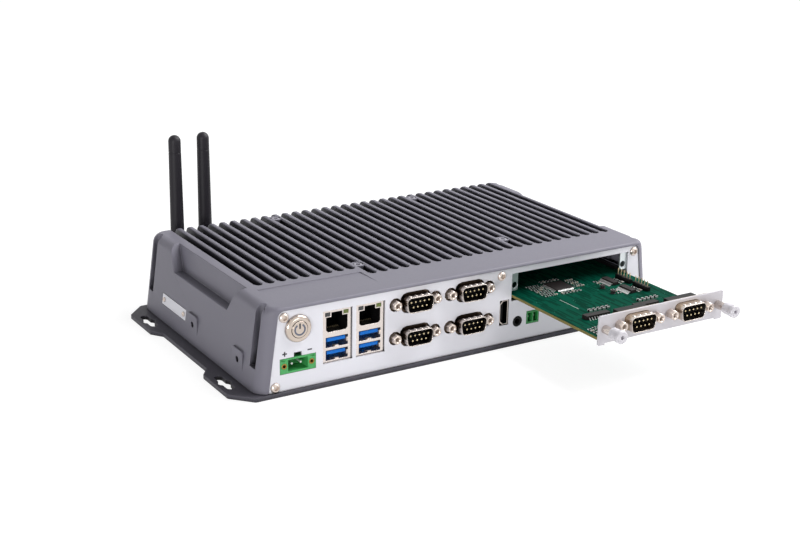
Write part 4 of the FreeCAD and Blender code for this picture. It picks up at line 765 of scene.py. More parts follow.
@dataclass
class Case:
    """Housing, base plate, panels, the cover on the left side and all their screws, and what they hide.

    The brim's pair is what it takes off the radius and off the height, and the cap's is the width of its
    rounded edge and what is worn off at the middle of it. The dome's angles are in degrees.
    """

    head_radius: float = 2.6
    head_height: float = 1.6
    shank_radius: float = 1.45
    shank_length: float = 6.5
    brim: tuple[float, float] = (0.1, 0.12)
    dome_foot: float = 0.3
    dome_angles: tuple[float, float] = (8.0, 70.0)
    dome_steps: int = 6
    head_socket: HexSocket = HexSocket(radius=1.4, depth=1.2, lip=0.1, chamfer=0.08)
    cap_sink: float = 4.0
    cap_height: float = 3.85
    cap_round: tuple[float, float] = (0.4, 0.12)
    cap_socket: HexSocket = HexSocket(radius=1.4, depth=1.2, lip=0.1, chamfer=0.1)
    screw_steps: int = 36
    hidden: dict[str, Finish] = field(default_factory=lambda: {
        "mainboard": CARD_MASK, "mainboard_standoffs": BRASS, "mainboard_screws": SCREW_NICKEL,
        "cpu_package": EPOXY, "heat_spreader": ALUMINIUM, "memory_socket": BLACK_PLASTIC,
        "memory_module": CARD_MASK, "storage_drive": EPOXY, "coin_cell": NICKEL,
    })

    def dress(self) -> None:
        """Give the CAD nodes of the case their finishes."""
        dress("housing", CAST_PAINT, edge_mm=0.3)
        dress("base_plate", BASE_PAINT, edge_mm=0.25)
        dress("front_panel", PANEL_SILVER, edge_mm=0.0)
        dress("rear_panel", PANEL_SILVER, edge_mm=0.0)
        dress("reader_cover", PANEL_SILVER, edge_mm=0.15)
        dress("reader_cover_screws", SCREW_NICKEL, edge_mm=0.12)
        dress("base_plate_screws", BLACK_SCREW, edge_mm=0.2)
        for node, finish in self.hidden.items():
            dress(node, finish, edge_mm=0.0)

    def button_head(self) -> bmesh.types.BMesh:
        """Turn one button-head screw with a hexagon socket, its seat at the origin.

        Returns:
            The screw's mesh.
        """
        wide = self.head_radius
        start, end = (math.radians(angle) for angle in self.dome_angles)
        profile = [(0, -self.shank_length), (self.shank_radius, -self.shank_length), (self.shank_radius, 0)]
        profile += [(wide - self.brim[0], 0), (wide, self.brim[1])]
        for step in range(self.dome_steps):
            angle = start + (end - start) * step / self.dome_steps
            radius = wide * math.cos(angle) / math.cos(start)
            share = (math.sin(angle) - math.sin(start)) / (math.sin(end) - math.sin(start))
            profile.append((radius, self.dome_foot + (self.head_height - self.dome_foot) * share))
        profile += self.head_socket.profile(self.head_height)
        return turned(profile, self.screw_steps)

    def cap_head(self, length: float) -> bmesh.types.BMesh:
        """Turn one cap screw with a hexagon socket that nearly fills its roof boss, its seat at the origin.

        Args:
            length: length of the shank in millimetres.

        Returns:
            The screw's mesh.
        """
        wide = self.head_radius
        rise = self.cap_height
        edge, worn = self.cap_round
        profile = [(0, -length), (self.shank_radius, -length), (self.shank_radius, 0), (wide, 0)]
        profile += [(wide, rise - edge), (wide - worn, rise - worn), (wide - edge, rise)]
        profile += self.cap_socket.profile(rise)
        return turned(profile, self.screw_steps)

    def build(self) -> None:
        """Put a turned screw at the place of each panel screw and of each roof screw."""
        screws = []
        for low, high in solids_of("panel_screws"):
            at_front = (low.y + high.y) < 0
            seat = middle((low, high))
            seat.y = low.y + self.head_height * MM if at_front else high.y - self.head_height * MM
            screws.append(aim(self.button_head(), seat, Facing.FRONT if at_front else Facing.REAR))
        piece(
            "panel_button_screws", gather(screws), [SCREW_NICKEL], Body.COMPUTER,
            ["panel_screws"],
        )
        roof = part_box("housing")[1].z
        caps = []
        for low, high in solids_of("heatsink_screws"):
            seat = middle((low, high))
            seat.z = roof - self.cap_sink * MM
            caps.append(aim(self.cap_head((seat.z - low.z) / MM), seat, Facing.UP))
        piece(
            "roof_cap_screws", gather(caps), [ROOF_SCREW], Body.COMPUTER,
            ["heatsink_screws"],
        )


@dataclass
class SerialPort:
    """Jack screws and grounding dimples of the nine-way ports, for the panel and for the card.

    The pairs of the hexagon's foot and face are a share of its radius and a height. A dimple's shape is how
    far a ball is stretched along each axis.
    """

    shells: str
    screws: str
    pins: str
    screw_length: float
    body: Body
    hex_radius: float = 2.75
    hex_foot: tuple[float, float] = (0.86, 0.25)
    hex_chamfer: float = 0.55
    face_edge: tuple[float, float] = (0.84, 0.1)
    face_share: float = 0.78
    screw_steps: int = 36
    bore: float = 1.25
    bore_mouth: float = 0.35
    bore_depth: float = 3.5
    drill_point: float = 0.6
    thread_pitch: float = 0.5
    thread_depth: float = 0.14
    tail_radius: float = 1.4
    # Painted shade: depth behind the shells' rim where it is full, its fade, its colour, and depth and fade
    # behind the pins' tips.
    rim_depth: float = 2.6
    rim_fade: float = 1.5
    root: str = "#463a31"
    tip_depth: float = 0.16
    tip_fade: float = 0.14
    shell_height: float = 8.9
    dimple: float = 0.75
    dimple_pitch: float = 3.68
    dimple_setback: float = 2.2
    dimple_shape: tuple[float, float, float] = (1.0, 1.5, 0.45)
    dimples_above: int = 4
    dimples_below: int = 3

    def jack_screw(self, tail: float) -> bmesh.types.BMesh:
        """Turn one jack screw with a chamfered hexagon and a threaded bore, its foot at the origin.

        Args:
            tail: length of the tail behind the foot in millimetres.

        Returns:
            The screw's mesh.
        """
        top = self.screw_length
        wide = self.hex_radius
        foot_share, foot_rise = self.hex_foot
        edge_share, edge_drop = self.face_edge
        profile = [(0, -tail), (self.tail_radius, -tail), (self.tail_radius, 0), (wide * foot_share, 0)]
        profile += [(wide, foot_rise, Section.HEXAGON), (wide, top - self.hex_chamfer, Section.HEXAGON)]
        profile += [(wide * edge_share, top - edge_drop), (wide * self.face_share, top)]
        profile.append((self.bore + self.bore_mouth, top))
        depth = top - self.bore_mouth
        while depth > top - self.bore_depth:
            profile += [(self.bore, depth), (self.bore + self.thread_depth, depth - self.thread_pitch / 2)]
            depth -= self.thread_pitch
        profile += [(self.bore, depth), (0, depth - self.drill_point)]
        return turned(profile, self.screw_steps)

    def dress(self) -> None:
        """Paint shade on the shells behind their plain rim, and on the pins behind their plain tips."""
        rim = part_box(self.shells)[0].y
        shade = ShadedMetal(
            self.shells + "_nickel", NICKEL.colour, NICKEL.drift, roughness=0.22, metallic=1.0,
            drift_mm=12.0, grain_mm=0.9, grain_depth_mm=0.002, gloss_spread=0.06,
            behind=rim + self.rim_depth * MM, fade_mm=self.rim_fade, dark=self.root,
        )
        dress(self.shells, shade, edge_mm=0.12)
        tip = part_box(self.pins)[0].y
        gold = ShadedMetal(
            self.pins + "_gold", GOLD.colour, GOLD.drift, roughness=0.3, metallic=0.8,
            drift_mm=3.0, grain_mm=0.4, grain_depth_mm=0.001, gloss_spread=0.05,
            behind=tip + self.tip_depth * MM, fade_mm=self.tip_fade,
        )
        dress(self.pins, gold, edge_mm=0.1)

    def build(self) -> None:
        """Put the jack screws and the dimples where the CAD has the ports."""
        screws = []
        for low, high in solids_of(self.screws):
            foot = middle((low, high))
            foot.y = low.y + self.screw_length * MM
            screws.append(aim(self.jack_screw((high.y - foot.y) / MM), foot, Facing.FRONT))
        piece(
            self.screws + "_turned", gather(screws), [SCREW_NICKEL], self.body, [self.screws]
        )
        size = self.dimple * MM
        stretch = Matrix.Diagonal((*self.dimple_shape, 1.0))
        dimples = []
        for low, high in solids_of(self.shells):
            centre = middle((low, high))
            for side, count in ((1, self.dimples_above), (-1, self.dimples_below)):
                y = low.y + self.dimple_setback * MM
                z = centre.z + side * self.shell_height / 2 * MM
                for index in range(count):
                    x = centre.x + (index - (count - 1) / 2) * self.dimple_pitch * MM
                    shape = Matrix.Translation((x, y, z)) @ stretch
                    dimple = bmesh.new()
                    bmesh.ops.create_uvsphere(dimple, u_segments=12, v_segments=6, radius=size, matrix=shape)
                    dimples.append(dimple)
        piece(self.shells + "_dimples", gather(dimples), [NICKEL], self.body)


@dataclass
class PortPanel:
    """Ports along the front panel, with the signs over the power terminal.

    A wire's size is its width, length and thickness, and its shade is the depth at which it is dark and the
    length over which it darkens. A pad's reach is where it starts and ends behind the tongue's tip, and its
    skin is how far it goes below and above its level.
    """

    sign_size: float = 2.6
    sign_width: float = 0.75
    sign_depth: float = 0.03
    sign_rise: float = 2.6
    plus_inset: float = 2.6
    minus_inset: float = 3.4
    lens_edge: float = 0.15
    # Depth behind the video port's mouth at which the painted shade on its shell is full.
    video_depth: float = 0.4
    wires: int = 8
    wire_pitch: float = 1.02
    wire_size: tuple[float, float, float] = (0.26, 7.0, 0.3)
    wire_setback: float = 5.0
    wire_lift: float = 1.2
    wire_slope: float = 0.4
    wire_shade: tuple[float, float] = (6.0, 0.8)
    pads: int = 4
    pad_pitch: float = 2.3
    pad_width: float = 1.0
    pad_reach: tuple[float, float] = (0.6, 7.0)
    pad_level: float = 2.85
    pad_skin: tuple[float, float] = (0.08, 0.05)
    spring_width: float = 2.3
    spring_rise: float = 0.7
    spring_reach: float = 3.0
    spring_flat: float = 0.3
    spring_edge: float = 0.1
    spring_sunk: float = 0.1
    spring_mouth: float = 0.8
    wall_spring_reach: float = 2.5
    wall_spring_edge: float = 0.15
    serial: SerialPort = field(
        default_factory=lambda: SerialPort(
            "com_port_shells", "com_port_jackscrews", "com_port_pins", screw_length=4.3, body=Body.COMPUTER
        )
    )
    # Finish of each CAD node, and the width of its softened edges.
    finishes: dict[str, tuple[Finish, float]] = field(default_factory=lambda: {
        "dc_terminal": (GREEN_PLASTIC, 0.18), "switch_terminal": (DEEP_GREEN, 0.12),
        "dc_terminal_inserts": (BRASS, 0.1), "terminal_pins": (SOLDER, 0.08),
        "lan_usb_shells": (TIN, 0.12), "lan_jack_inserts": (BLACK_PLASTIC, 0.12),
        "usb_tongues": (BLUE_PLASTIC, 0.12),
        "com_port_insulators": (BLACK_PLASTIC, 0.15),
        "video_port_tongue": (BLACK_PLASTIC, 0.1),
        "audio_jack": (BLACK_PLASTIC, 0.15),
    })

    def dress(self) -> None:
        """Give the CAD nodes of the ports their finishes."""
        for node, (finish, edge) in self.finishes.items():
            dress(node, finish, edge)
        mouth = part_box("video_port_shell")[0].y
        # Nickel that is plain at the rim of the mouth, with painted shade behind it.
        shade = ShadedMetal(
            "video_shell_nickel_painted_shade", NICKEL.colour, NICKEL.drift, roughness=0.3, metallic=1.0,
            drift_mm=6.0, grain_mm=0.7, grain_depth_mm=0.002, gloss_spread=0.06,
            behind=mouth + self.video_depth * MM,
        )
        dress("video_port_shell", shade, edge_mm=0.1)
        self.serial.dress()

    def lamps(self) -> None:
        """Put a clear lens at the left and a lime one at the right of each network jack."""
        lenses = [block(low, high, self.lens_edge * MM) for low, high in solids_of("lan_lamps")]
        mesh = mixed([lenses[0::2], lenses[1::2]])
        piece("lan_lamp_lenses", mesh, [LENS_CLEAR, LENS_LIME], Body.COMPUTER, ["lan_lamps"])

    def jack_contacts(self) -> None:
        """Put sprung gold wires on the floor of each network jack, rising towards the back."""
        width, length, thick = (part * MM for part in self.wire_size)
        depth, fade = self.wire_shade
        wires = []
        for low, high in solids_of("lan_jack_inserts"):
            centre = middle((low, high))
            front = low.y + self.wire_setback * MM
            floor = low.z + self.wire_lift * MM
            for index in range(self.wires):
                x = centre.x + (index - (self.wires - 1) / 2) * self.wire_pitch * MM
                wire = block((x - width / 2, front, floor), (x + width / 2, front + length, floor + thick))
                for vert in wire.verts:
                    vert.co.z += (vert.co.y - front) * self.wire_slope
                wires.append(wire)
        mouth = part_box("lan_jack_inserts")[0].y
        # Gold that glints near the mouth, with painted shade at the back.
        shade = ShadedMetal(
            "jack_contact_gold_painted_shade", GOLD.colour, GOLD.drift, roughness=0.3, metallic=0.8,
            drift_mm=3.0, grain_mm=0.4, grain_depth_mm=0.001, gloss_spread=0.05,
            behind=mouth + depth * MM, fade_mm=fade,
        )
        piece("lan_jack_contacts", gather(wires), [shade], Body.COMPUTER)

    def bus_contacts(self) -> None:
        """Put gold pads under each blue tongue."""
        half = self.pad_width / 2 * MM
        front, back = (part * MM for part in self.pad_reach)
        below, above = (part * MM for part in self.pad_skin)
        pads = []
        for low, high in solids_of("usb_tongues"):
            centre = middle((low, high))
            under = low.z + self.pad_level * MM
            for index in range(self.pads):
                x = centre.x + (index - (self.pads - 1) / 2) * self.pad_pitch * MM
                start = (x - half, low.y + front, under - below)
                pads.append(block(start, (x + half, low.y + back, under + above)))
        piece("bus_port_contacts", gather(pads), [GOLD], Body.COMPUTER)

    def springs(self) -> None:
        """Bend a sprung grounding tab into the floor and the right wall of each bus port."""
        half = self.spring_width / 2 * MM
        tall = self.spring_rise * MM
        reach = self.spring_reach * MM
        sunk = self.spring_sunk * MM
        tabs = []
        for low, high in solids_of("usb_tongues"):
            centre = middle((low, high))
            mouth = low.y - self.spring_mouth * MM
            start = (centre.x - half, mouth, low.z - sunk)
            tab = block(start, (centre.x + half, mouth + reach, low.z + tall), self.spring_edge * MM)
            for vert in tab.verts:
                vert.co.z -= tall * max(0.0, (vert.co.y - mouth) / reach - self.spring_flat)
            tabs.append(tab)
            start = (high.x - tall, mouth, centre.z - half)
            end = (high.x + sunk, mouth + self.wall_spring_reach * MM, centre.z + half)
            tabs.append(block(start, end, self.wall_spring_edge * MM))
        piece("bus_port_springs", gather(tabs), [SCREW_NICKEL], Body.COMPUTER)

    def signs(self) -> None:
        """Print a plus and a minus over the two ends of the power terminal."""
        low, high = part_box("dc_terminal")
        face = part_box("front_panel")[0].y
        front = face - self.sign_depth * MM
        half = self.sign_size / 2 * MM
        thin = self.sign_width / 2 * MM
        z = high.z + self.sign_rise * MM
        plus = low.x + self.plus_inset * MM
        minus = high.x - self.minus_inset * MM
        bars = [block((x - half, front, z - thin), (x + half, face, z + thin)) for x in (plus, minus)]
        bars.append(block((plus - thin, front, z - half), (plus + thin, face, z + half)))
        piece("terminal_signs", gather(bars), [INK], Body.COMPUTER)

    def build(self) -> None:
        """Build every new piece of the panel's ports."""
        self.lamps()
        self.jack_contacts()
        self.bus_contacts()
        self.signs()
        self.springs()
        self.serial.build()


@dataclass
class PowerButton:
    """Steel push button with a power sign on its cap.

    The pairs of the bezel's foot and of the lip's slope are a step in radius and a step in height. The gap
    of the sign's ring is in degrees.
    """

    bezel_radius: float = 7.3
    bezel_rise: float = 2.2
    bezel_foot: tuple[float, float] = (0.1, 0.15)
    dome_foot: float = 0.5
    dome_power: float = 0.8
    dome_steps: int = 9
    lip_radius: float = 5.2
    lip_slope: tuple[float, float] = (0.12, 0.05)
    lip_depth: float = 0.4
    bore: float = 4.6
    bore_depth: float = 9.5
    barrel_radius: float = 5.9
    bezel_steps: int = 64
    ring_radius: float = 2.8
    ring_steps: int = 40
    stroke_start: float = 0.4
    stroke_past_ring: float = 0.5
    sign_line: float = 0.9
    sign_thick: float = 0.04
    gap_angle: float = 62.0

    def finish(self) -> Finish:
        """Polished steel with lathe rings round the button's own axis."""
        centre = middle(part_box("power_button_cap"))
        return TurnedMetal(
            "turned_polished_steel", "#cdc0b5", "#bdb0a5", roughness=0.14, metallic=1.0,
            drift_mm=10.0, grain_mm=0.25, grain_depth_mm=0.002, gloss_spread=0.04, centre=tuple(centre),
        )

    def dress(self) -> None:
        """Give the CAD nodes of the button their finishes."""
        steel = self.finish()
        dress("power_button_cap", steel, edge_mm=0.2, segments=3)
        dress("power_button_nut", SCREW_NICKEL, edge_mm=0.2)

    def bezel(self) -> None:
        """Turn the domed bezel and its barrel, bored for the cap."""
        low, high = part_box("power_button_body")
        seat = middle((low, high))
        seat.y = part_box("front_panel")[0].y
        tail = (high.y - seat.y) / MM
        wide = self.bezel_radius
        rise = self.bezel_rise
        profile = [(0, -tail), (self.barrel_radius, -tail), (self.barrel_radius, 0)]
        profile += [(wide - self.bezel_foot[0], 0), (wide, self.bezel_foot[1])]
        for step in range(self.dome_steps + 1):
            angle = math.pi / 2 * step / self.dome_steps
            radius = self.lip_radius + (wide - self.lip_radius) * math.cos(angle) ** self.dome_power
            profile.append((radius, self.dome_foot + (rise - self.dome_foot) * math.sin(angle)))
        profile.append((self.bore + self.lip_slope[0], rise - self.lip_slope[1]))
        profile += [(self.bore, rise - self.lip_depth), (self.bore, -self.bore_depth), (0, -self.bore_depth)]
        mesh = aim(turned(profile, self.bezel_steps), seat, Facing.FRONT)
        steel = [self.finish()]
        piece("power_button_bezel", mesh, steel, Body.COMPUTER, ["power_button_body"])

    def sign(self) -> None:
        """Lay the power sign on the cap: an open, frosted ring and an upright stroke."""
        low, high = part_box("power_button_cap")
        centre = middle((low, high))
        ring = bmesh.new()
        half = self.sign_line / 2 * MM
        thick = self.sign_thick * MM
        radius = self.ring_radius * MM
        start = math.radians(self.gap_angle / 2)
        corners = [(radius - half, 0), (radius + half, 0), (radius + half, thick), (radius - half, thick)]
        verts = [ring.verts.new((math.sin(start) * r, math.cos(start) * r, z)) for r, z in corners]
        face = ring.faces.new(verts)
        sweep = math.tau - 2 * start
        bmesh.ops.spin(
            ring, geom=[face], cent=(0, 0, 0), axis=(0, 0, -1), angle=sweep, steps=self.ring_steps,
            use_duplicate=False,
        )
        bmesh.ops.recalc_face_normals(ring, faces=ring.faces)
        top = radius + self.stroke_past_ring * MM
        stroke = block((-half, self.stroke_start * MM, 0), (half, top, thick))
        sign = mixed([[ring], [stroke]])
        turn = Matrix(((1, 0, 0, 0), (0, 0, -1, 0), (0, 1, 0, 0), (0, 0, 0, 1)))
        place = Matrix.Translation((centre.x, low.y, centre.z))
        bmesh.ops.transform(sign, matrix=place @ turn, verts=sign.verts)
        bmesh.ops.recalc_face_normals(sign, faces=sign.faces)
        piece("power_sign", sign, [LAMP_RING, INK], Body.BUTTON)

    def build(self) -> None:
        """Build the bezel and the sign."""
        self.bezel()
        self.sign()


@dataclass(frozen=True)
class PartRow:
    """One straight row of small parts on the card, in millimetres from a corner of the chip beside it.

    The corner is 0 for the chip's low end and 1 for its high end, along X and along Y. One of every so many
    parts is ceramic, from the first one on, counted from 0.
    """

    corner: tuple[int, int]
    start: tuple[float, float]
    step: tuple[float, float]
    count: int
    along_x: bool
    every: int
    first: int
    stagger: float = 0.0

    def places(self, box: tuple[Vector, Vector]) -> list[tuple[float, float, bool]]:
        """Set out the row.

        Args:
            box: the chip's corners.

        Returns:
            X and Y of each part in metres, and whether it is ceramic.
        """
        left = box[self.corner[0]].x
        front = box[self.corner[1]].y
        places = []
        for index in range(self.count):
            x = left + (self.start[0] + self.step[0] * index + self.stagger * (index % 2)) * MM
            y = front + (self.start[1] + self.step[1] * index) * MM
            places.append((x, y, index % self.every == self.first))
        return places


@dataclass
class SerialCard:
    """Slide-out card: bracket, board, chips with leads, small parts, ports and thumbscrews, and its bay.

    A lead's pair is its width and reach, and its bends are shares of the reach. A set's pair is the pitch
    of its leads and the bare length at each end. A drum's dimple is a radius and a depth, and the printed
    line is given by its left, front, right and back. On the thumbscrew, a pair of the head or the sleeve
    is what is taken off the radius and a height, and the knurl's margins are below and above it.
    """

    fine_lead: tuple[float, float] = (0.5, 1.6)
    broad_lead: tuple[float, float] = (1.05, 2.8)
    lead_thick: float = 0.18
    lead_root: float = 0.1
    lead_lift: float = 0.02
    lead_bends: tuple[float, float] = (0.35, 0.6)
    lead_level: float = 0.45
    chip_set: tuple[float, float] = (0.9, 0.6)
    driver_set: tuple[float, float] = (1.27, 0.8)
    array_set: tuple[float, float] = (1.8, 1.0)
    array_width: float = 5.0
    part_size: tuple[float, float] = (1.9, 1.1)
    part_edge: float = 0.06
    ceramic_height: float = 0.7
    resistor_height: float = 0.45
    end_length: float = 0.48
    end_inset: float = 0.12
    end_skin: float = 0.04
    end_rise: float = 0.03
    band_width: float = 0.5
    band_skin: float = 0.05
    chip_rows: tuple[PartRow, ...] = (
        PartRow((0, 0), (-3.6, -4.0), (0.0, 2.5), count=8, along_x=True, every=5, first=0, stagger=-0.6),
        PartRow((0, 0), (-6.7, -4.0), (0.0, 2.5), count=8, along_x=True, every=5, first=4, stagger=-0.6),
        PartRow((0, 0), (-9.8, -4.0), (0.0, 2.5), count=8, along_x=True, every=5, first=3, stagger=-0.6),
        PartRow((0, 0), (1.0, -4.4), (2.4, 0.0), count=6, along_x=False, every=3, first=0),
        PartRow((0, 1), (1.0, 4.4), (2.4, 0.0), count=6, along_x=False, every=3, first=1),
        PartRow((1, 0), (4.0, 1.0), (0.0, 2.7), count=5, along_x=True, every=2, first=0),
        PartRow((1, 0), (7.2, 1.0), (0.0, 2.7), count=5, along_x=True, every=2, first=0),
    )
    driver_rows: tuple[PartRow, ...] = (
        PartRow((0, 0), (-5.2, 4.0), (0.0, 3.0), count=3, along_x=True, every=3, first=1),
        PartRow((1, 0), (4.4, 2.0), (0.0, 3.0), count=3, along_x=False, every=3, first=0),
    )
    # These rows stand by no chip. Their places are in the frame, and so are those of the drums and the line.
    front_rows: tuple[PartRow, ...] = (
        PartRow((0, 0), (31.5, -147.0), (0.0, 2.4), count=4, along_x=True, every=4, first=2),
        PartRow((0, 0), (35.2, -146.0), (0.0, 2.4), count=4, along_x=True, every=4, first=1),
    )
    drums: tuple[tuple[float, float], ...] = ((79.8, -91.6), (79.3, -101.3))
    drum_radius: float = 1.5
    drum_height: float = 1.8
    drum_flange: float = 0.3
    drum_groove: float = 0.3
    drum_edge: float = 0.1
    drum_steps: int = 28
    drum_dimple: tuple[float, float] = (0.4, 0.15)
    printed_line: tuple[float, float, float, float] = (46.3, -111.9, 46.6, -95.4)
    print_thick: float = 0.03
    knob_radius: float = 3.5
    knob_length: float = 8.0
    knob_head: float = 3.2
    knob_socket: HexSocket = HexSocket(radius=1.2, depth=2.0, lip=0.15, chamfer=0.12)
    knob_steps: int = 72
    head_foot: tuple[tuple[float, float], ...] = ((0.1, 0.25), (0.0, 0.5))
    head_round: tuple[tuple[float, float], ...] = ((0.0, 0.8), (0.12, 0.4), (0.4, 0.1), (0.75, 0.0))
    sleeve_slim: float = 0.35
    sleeve_foot: tuple[tuple[float, float], ...] = ((0.4, 0.0), (0.05, 0.35))
    sleeve_groove: tuple[float, float] = (0.1, 0.2)
    knurl_margins: tuple[float, float] = (0.7, 0.4)
    shank_radius: float = 1.5
    shank_point: tuple[float, float] = (0.3, 0.4)
    serial: SerialPort = field(
        default_factory=lambda: SerialPort(
            "card_port_shells", "card_jackscrews", "card_port_pins", screw_length=5.0, body=Body.CARD,
            # The painted shade behind the card's shell rims is a lighter beige.
            root="#b7a48d",
        )
    )
    # Finish of each CAD node, and the width of its softened edges.
    finishes: dict[str, tuple[Finish, float]] = field(default_factory=lambda: {
        "card_tray": (SHEET_ZINC, 0.15), "card_tray_posts": (BRASS, 0.0),
        "card_guides": (BLACK_PLASTIC, 0.0), "card_socket": (BLACK_PLASTIC, 0.0),
        "card_riser": (CARD_MASK, 0.0), "card_bracket": (BRACKET_SILVER, 0.12),
        "card_board": (CARD_MASK, 0.05), "card_main_chip": (EPOXY, 0.15),
        "card_line_drivers": (EPOXY, 0.2), "card_small_parts": (EPOXY, 0.12),
        "card_pin_headers": (BLACK_PLASTIC, 0.15), "card_header_pins": (GOLD, 0.06),
        "card_port_insulators": (BLACK_PLASTIC, 0.15), "thumbscrew_ferrules": (NICKEL, 0.15),
    })

    def dress(self) -> None:
        """Give the CAD nodes of the card and its bay their finishes."""
        for node, (finish, edge) in self.finishes.items():
            dress(node, finish, edge)
        self.serial.dress()

    def lead(self, foot: Vector, rise: float, way: Vector, size: tuple[float, float]) -> bmesh.types.BMesh:
        """Bend one gull-wing lead from a chip's side down to the board.

        Args:
            foot: where the chip's side meets the board.
            rise: height at which the lead leaves the chip, in metres.
            way: outward direction.
            size: width and reach of the lead in millimetres.

        Returns:
            The lead's mesh.
        """
        mesh = bmesh.new()
        thick = self.lead_thick * MM
        reach = size[1] * MM
        lift = self.lead_lift * MM
        upper, lower = (reach * share for share in self.lead_bends)
        path = [(-self.lead_root * MM, rise), (upper, rise), (lower, lift), (reach, lift)]
        outline = path + [(out, up + thick) for out, up in reversed(path)]
        across = Vector((-way.y, way.x, 0)) * (size[0] * MM)
        corner = foot - across / 2
        verts = [mesh.verts.new(corner + way * out + Vector((0, 0, up))) for out, up in outline]
        flat = mesh.faces.new(verts)
        wide = bmesh.ops.extrude_face_region(mesh, geom=[flat])
        moved = [item for item in wide["geom"] if isinstance(item, bmesh.types.BMVert)]
        bmesh.ops.translate(mesh, vec=across, verts=moved)
        bmesh.ops.recalc_face_normals(mesh, faces=mesh.faces)
        return mesh

    def row_of_leads(
        self, box: tuple[Vector, Vector], way: Vector, pitch: float, margin: float, size: tuple[float, float]
    ) -> list[bmesh.types.BMesh]:
        """Set leads along one side of a chip.

        Args:
            box: the chip's corners.
            way: outward direction of that side.
            pitch: distance between leads in millimetres.
            margin: bare length at each end in millimetres.
            size: width and reach of each lead in millimetres.

        Returns:
            The leads' meshes.
        """
        low, high = box
        centre = middle(box)
        along = Vector((abs(way.y), abs(way.x), 0))
        length = (high - low).dot(along) - 2 * margin * MM
        count = int(length / (pitch * MM)) + 1
        half = (high - low) / 2
        side = Vector((centre.x + way.x * half.x, centre.y + way.y * half.y, low.z))
        rise = (high.z - low.z) * self.lead_level
        leads = []
        for index in range(count):
            place = side + along * ((index - (count - 1) / 2) * pitch * MM)
            leads.append(self.lead(place, rise, way, size))
        return leads

    def chip_leads(self) -> None:
        """Give the main chip leads on four sides, and the drivers and arrays leads on two."""
        leads = []
        sides = [Vector((1, 0, 0)), Vector((-1, 0, 0)), Vector((0, 1, 0)), Vector((0, -1, 0))]
        for box in solids_of("card_main_chip"):
            for way in sides:
                leads += self.row_of_leads(box, way, *self.chip_set, self.fine_lead)
        for box in solids_of("card_line_drivers"):
            for way in sides[:2]:
                leads += self.row_of_leads(box, way, *self.driver_set, self.broad_lead)
        for box in solids_of("card_small_parts"):
            if (box[1] - box[0]).x > self.array_width * MM:
                for way in sides[2:]:
                    leads += self.row_of_leads(box, way, *self.array_set, self.fine_lead)
        piece("card_chip_leads", gather(leads), [SOLDER], Body.CARD)

    def chip_part(
        self, foot: Vector, rise: float, along_x: bool
    ) -> tuple[bmesh.types.BMesh, list[bmesh.types.BMesh]]:
        """Make one chip capacitor or resistor and its two tinned ends.

        Args:
            foot: middle of its foot.
            rise: its height in metres.
            along_x: whether its length lies along X, and not along Y.

        Returns:
            The body, and the two ends.
        """
        along = Vector((1, 0, 0)) if along_x else Vector((0, 1, 0))
        across = Vector((0, 1, 0)) if along_x else Vector((1, 0, 0))
        long_half, short_half = (size / 2 * MM for size in self.part_size)
        half = along * long_half + across * short_half
        edge = self.part_edge * MM
        body = block(foot - half, foot + half + Vector((0, 0, rise)), edge)
        end_half = along * (self.end_length / 2 * MM) + across * (short_half + self.end_skin * MM)
        end_top = Vector((0, 0, rise + self.end_rise * MM))
        ends = []
        for side in (-1, 1):
            centre = foot + along * (side * (long_half - self.end_inset * MM))
            ends.append(block(centre - end_half, centre + end_half + end_top, edge))
        return body, ends

    def small_parts(self) -> None:
        """Set chip capacitors and resistors round the chips, and tin the ends of the CAD's small parts."""
        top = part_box("card_board")[1].z
        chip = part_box("card_main_chip")
        origin = (Vector((0, 0, 0)), Vector((0, 0, 0)))
        rows = [(chip, row) for row in self.chip_rows]
        rows += [(driver, row) for driver in solids_of("card_line_drivers") for row in self.driver_rows]
        rows += [(origin, row) for row in self.front_rows]
        bodies = []
        ceramics = []
        ends = []
        for box, row in rows:
            for x, y, ceramic in row.places(box):
                rise = self.ceramic_height if ceramic else self.resistor_height
                body, tinned = self.chip_part(Vector((x, y, top)), rise * MM, row.along_x)
                target = ceramics if ceramic else bodies
                target.append(body)
                ends += tinned
        half = self.band_width / 2 * MM
        skin = self.band_skin * MM
        for low, high in solids_of("card_small_parts"):
            if (high - low).x < self.array_width * MM:
                for edge in (low.y, high.y):
                    corner = (high.x + skin, edge + half, high.z + self.end_rise * MM)
                    ends.append(block((low.x - skin, edge - half, top), corner))
        groups = [bodies, ceramics, ends]
        piece("card_chip_parts", mixed(groups), [EPOXY, CERAMIC, SOLDER], Body.CARD)

    def drums_and_print(self) -> None:
        """Stand two drum coils by the drivers, and print a guide line on the board."""
        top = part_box("card_board")[1].z
        wide = self.drum_radius
        tall = self.drum_height
        slim = wide - self.drum_groove
        lip = self.drum_flange
        edge = self.drum_edge
        hollow, depth = self.drum_dimple
        profile = [(0, 0), (wide, 0), (wide, lip), (slim, lip + edge), (slim, tall - lip - edge)]
        profile += [(wide, tall - lip), (wide, tall - edge), (wide - edge, tall), (hollow + edge, tall)]
        profile += [(hollow, tall - depth), (0, tall - depth)]
        feet = [Vector((x * MM, y * MM, top)) for x, y in self.drums]
        drums = [aim(turned(profile, self.drum_steps), foot, Facing.UP) for foot in feet]
        piece("card_drum_coils", gather(drums), [EPOXY], Body.CARD)
        left, front, right, back = (part * MM for part in self.printed_line)
        line = block((left, front, top), (right, back, top + self.print_thick * MM))
        piece("card_printed_line", line, [PRINT], Body.CARD)

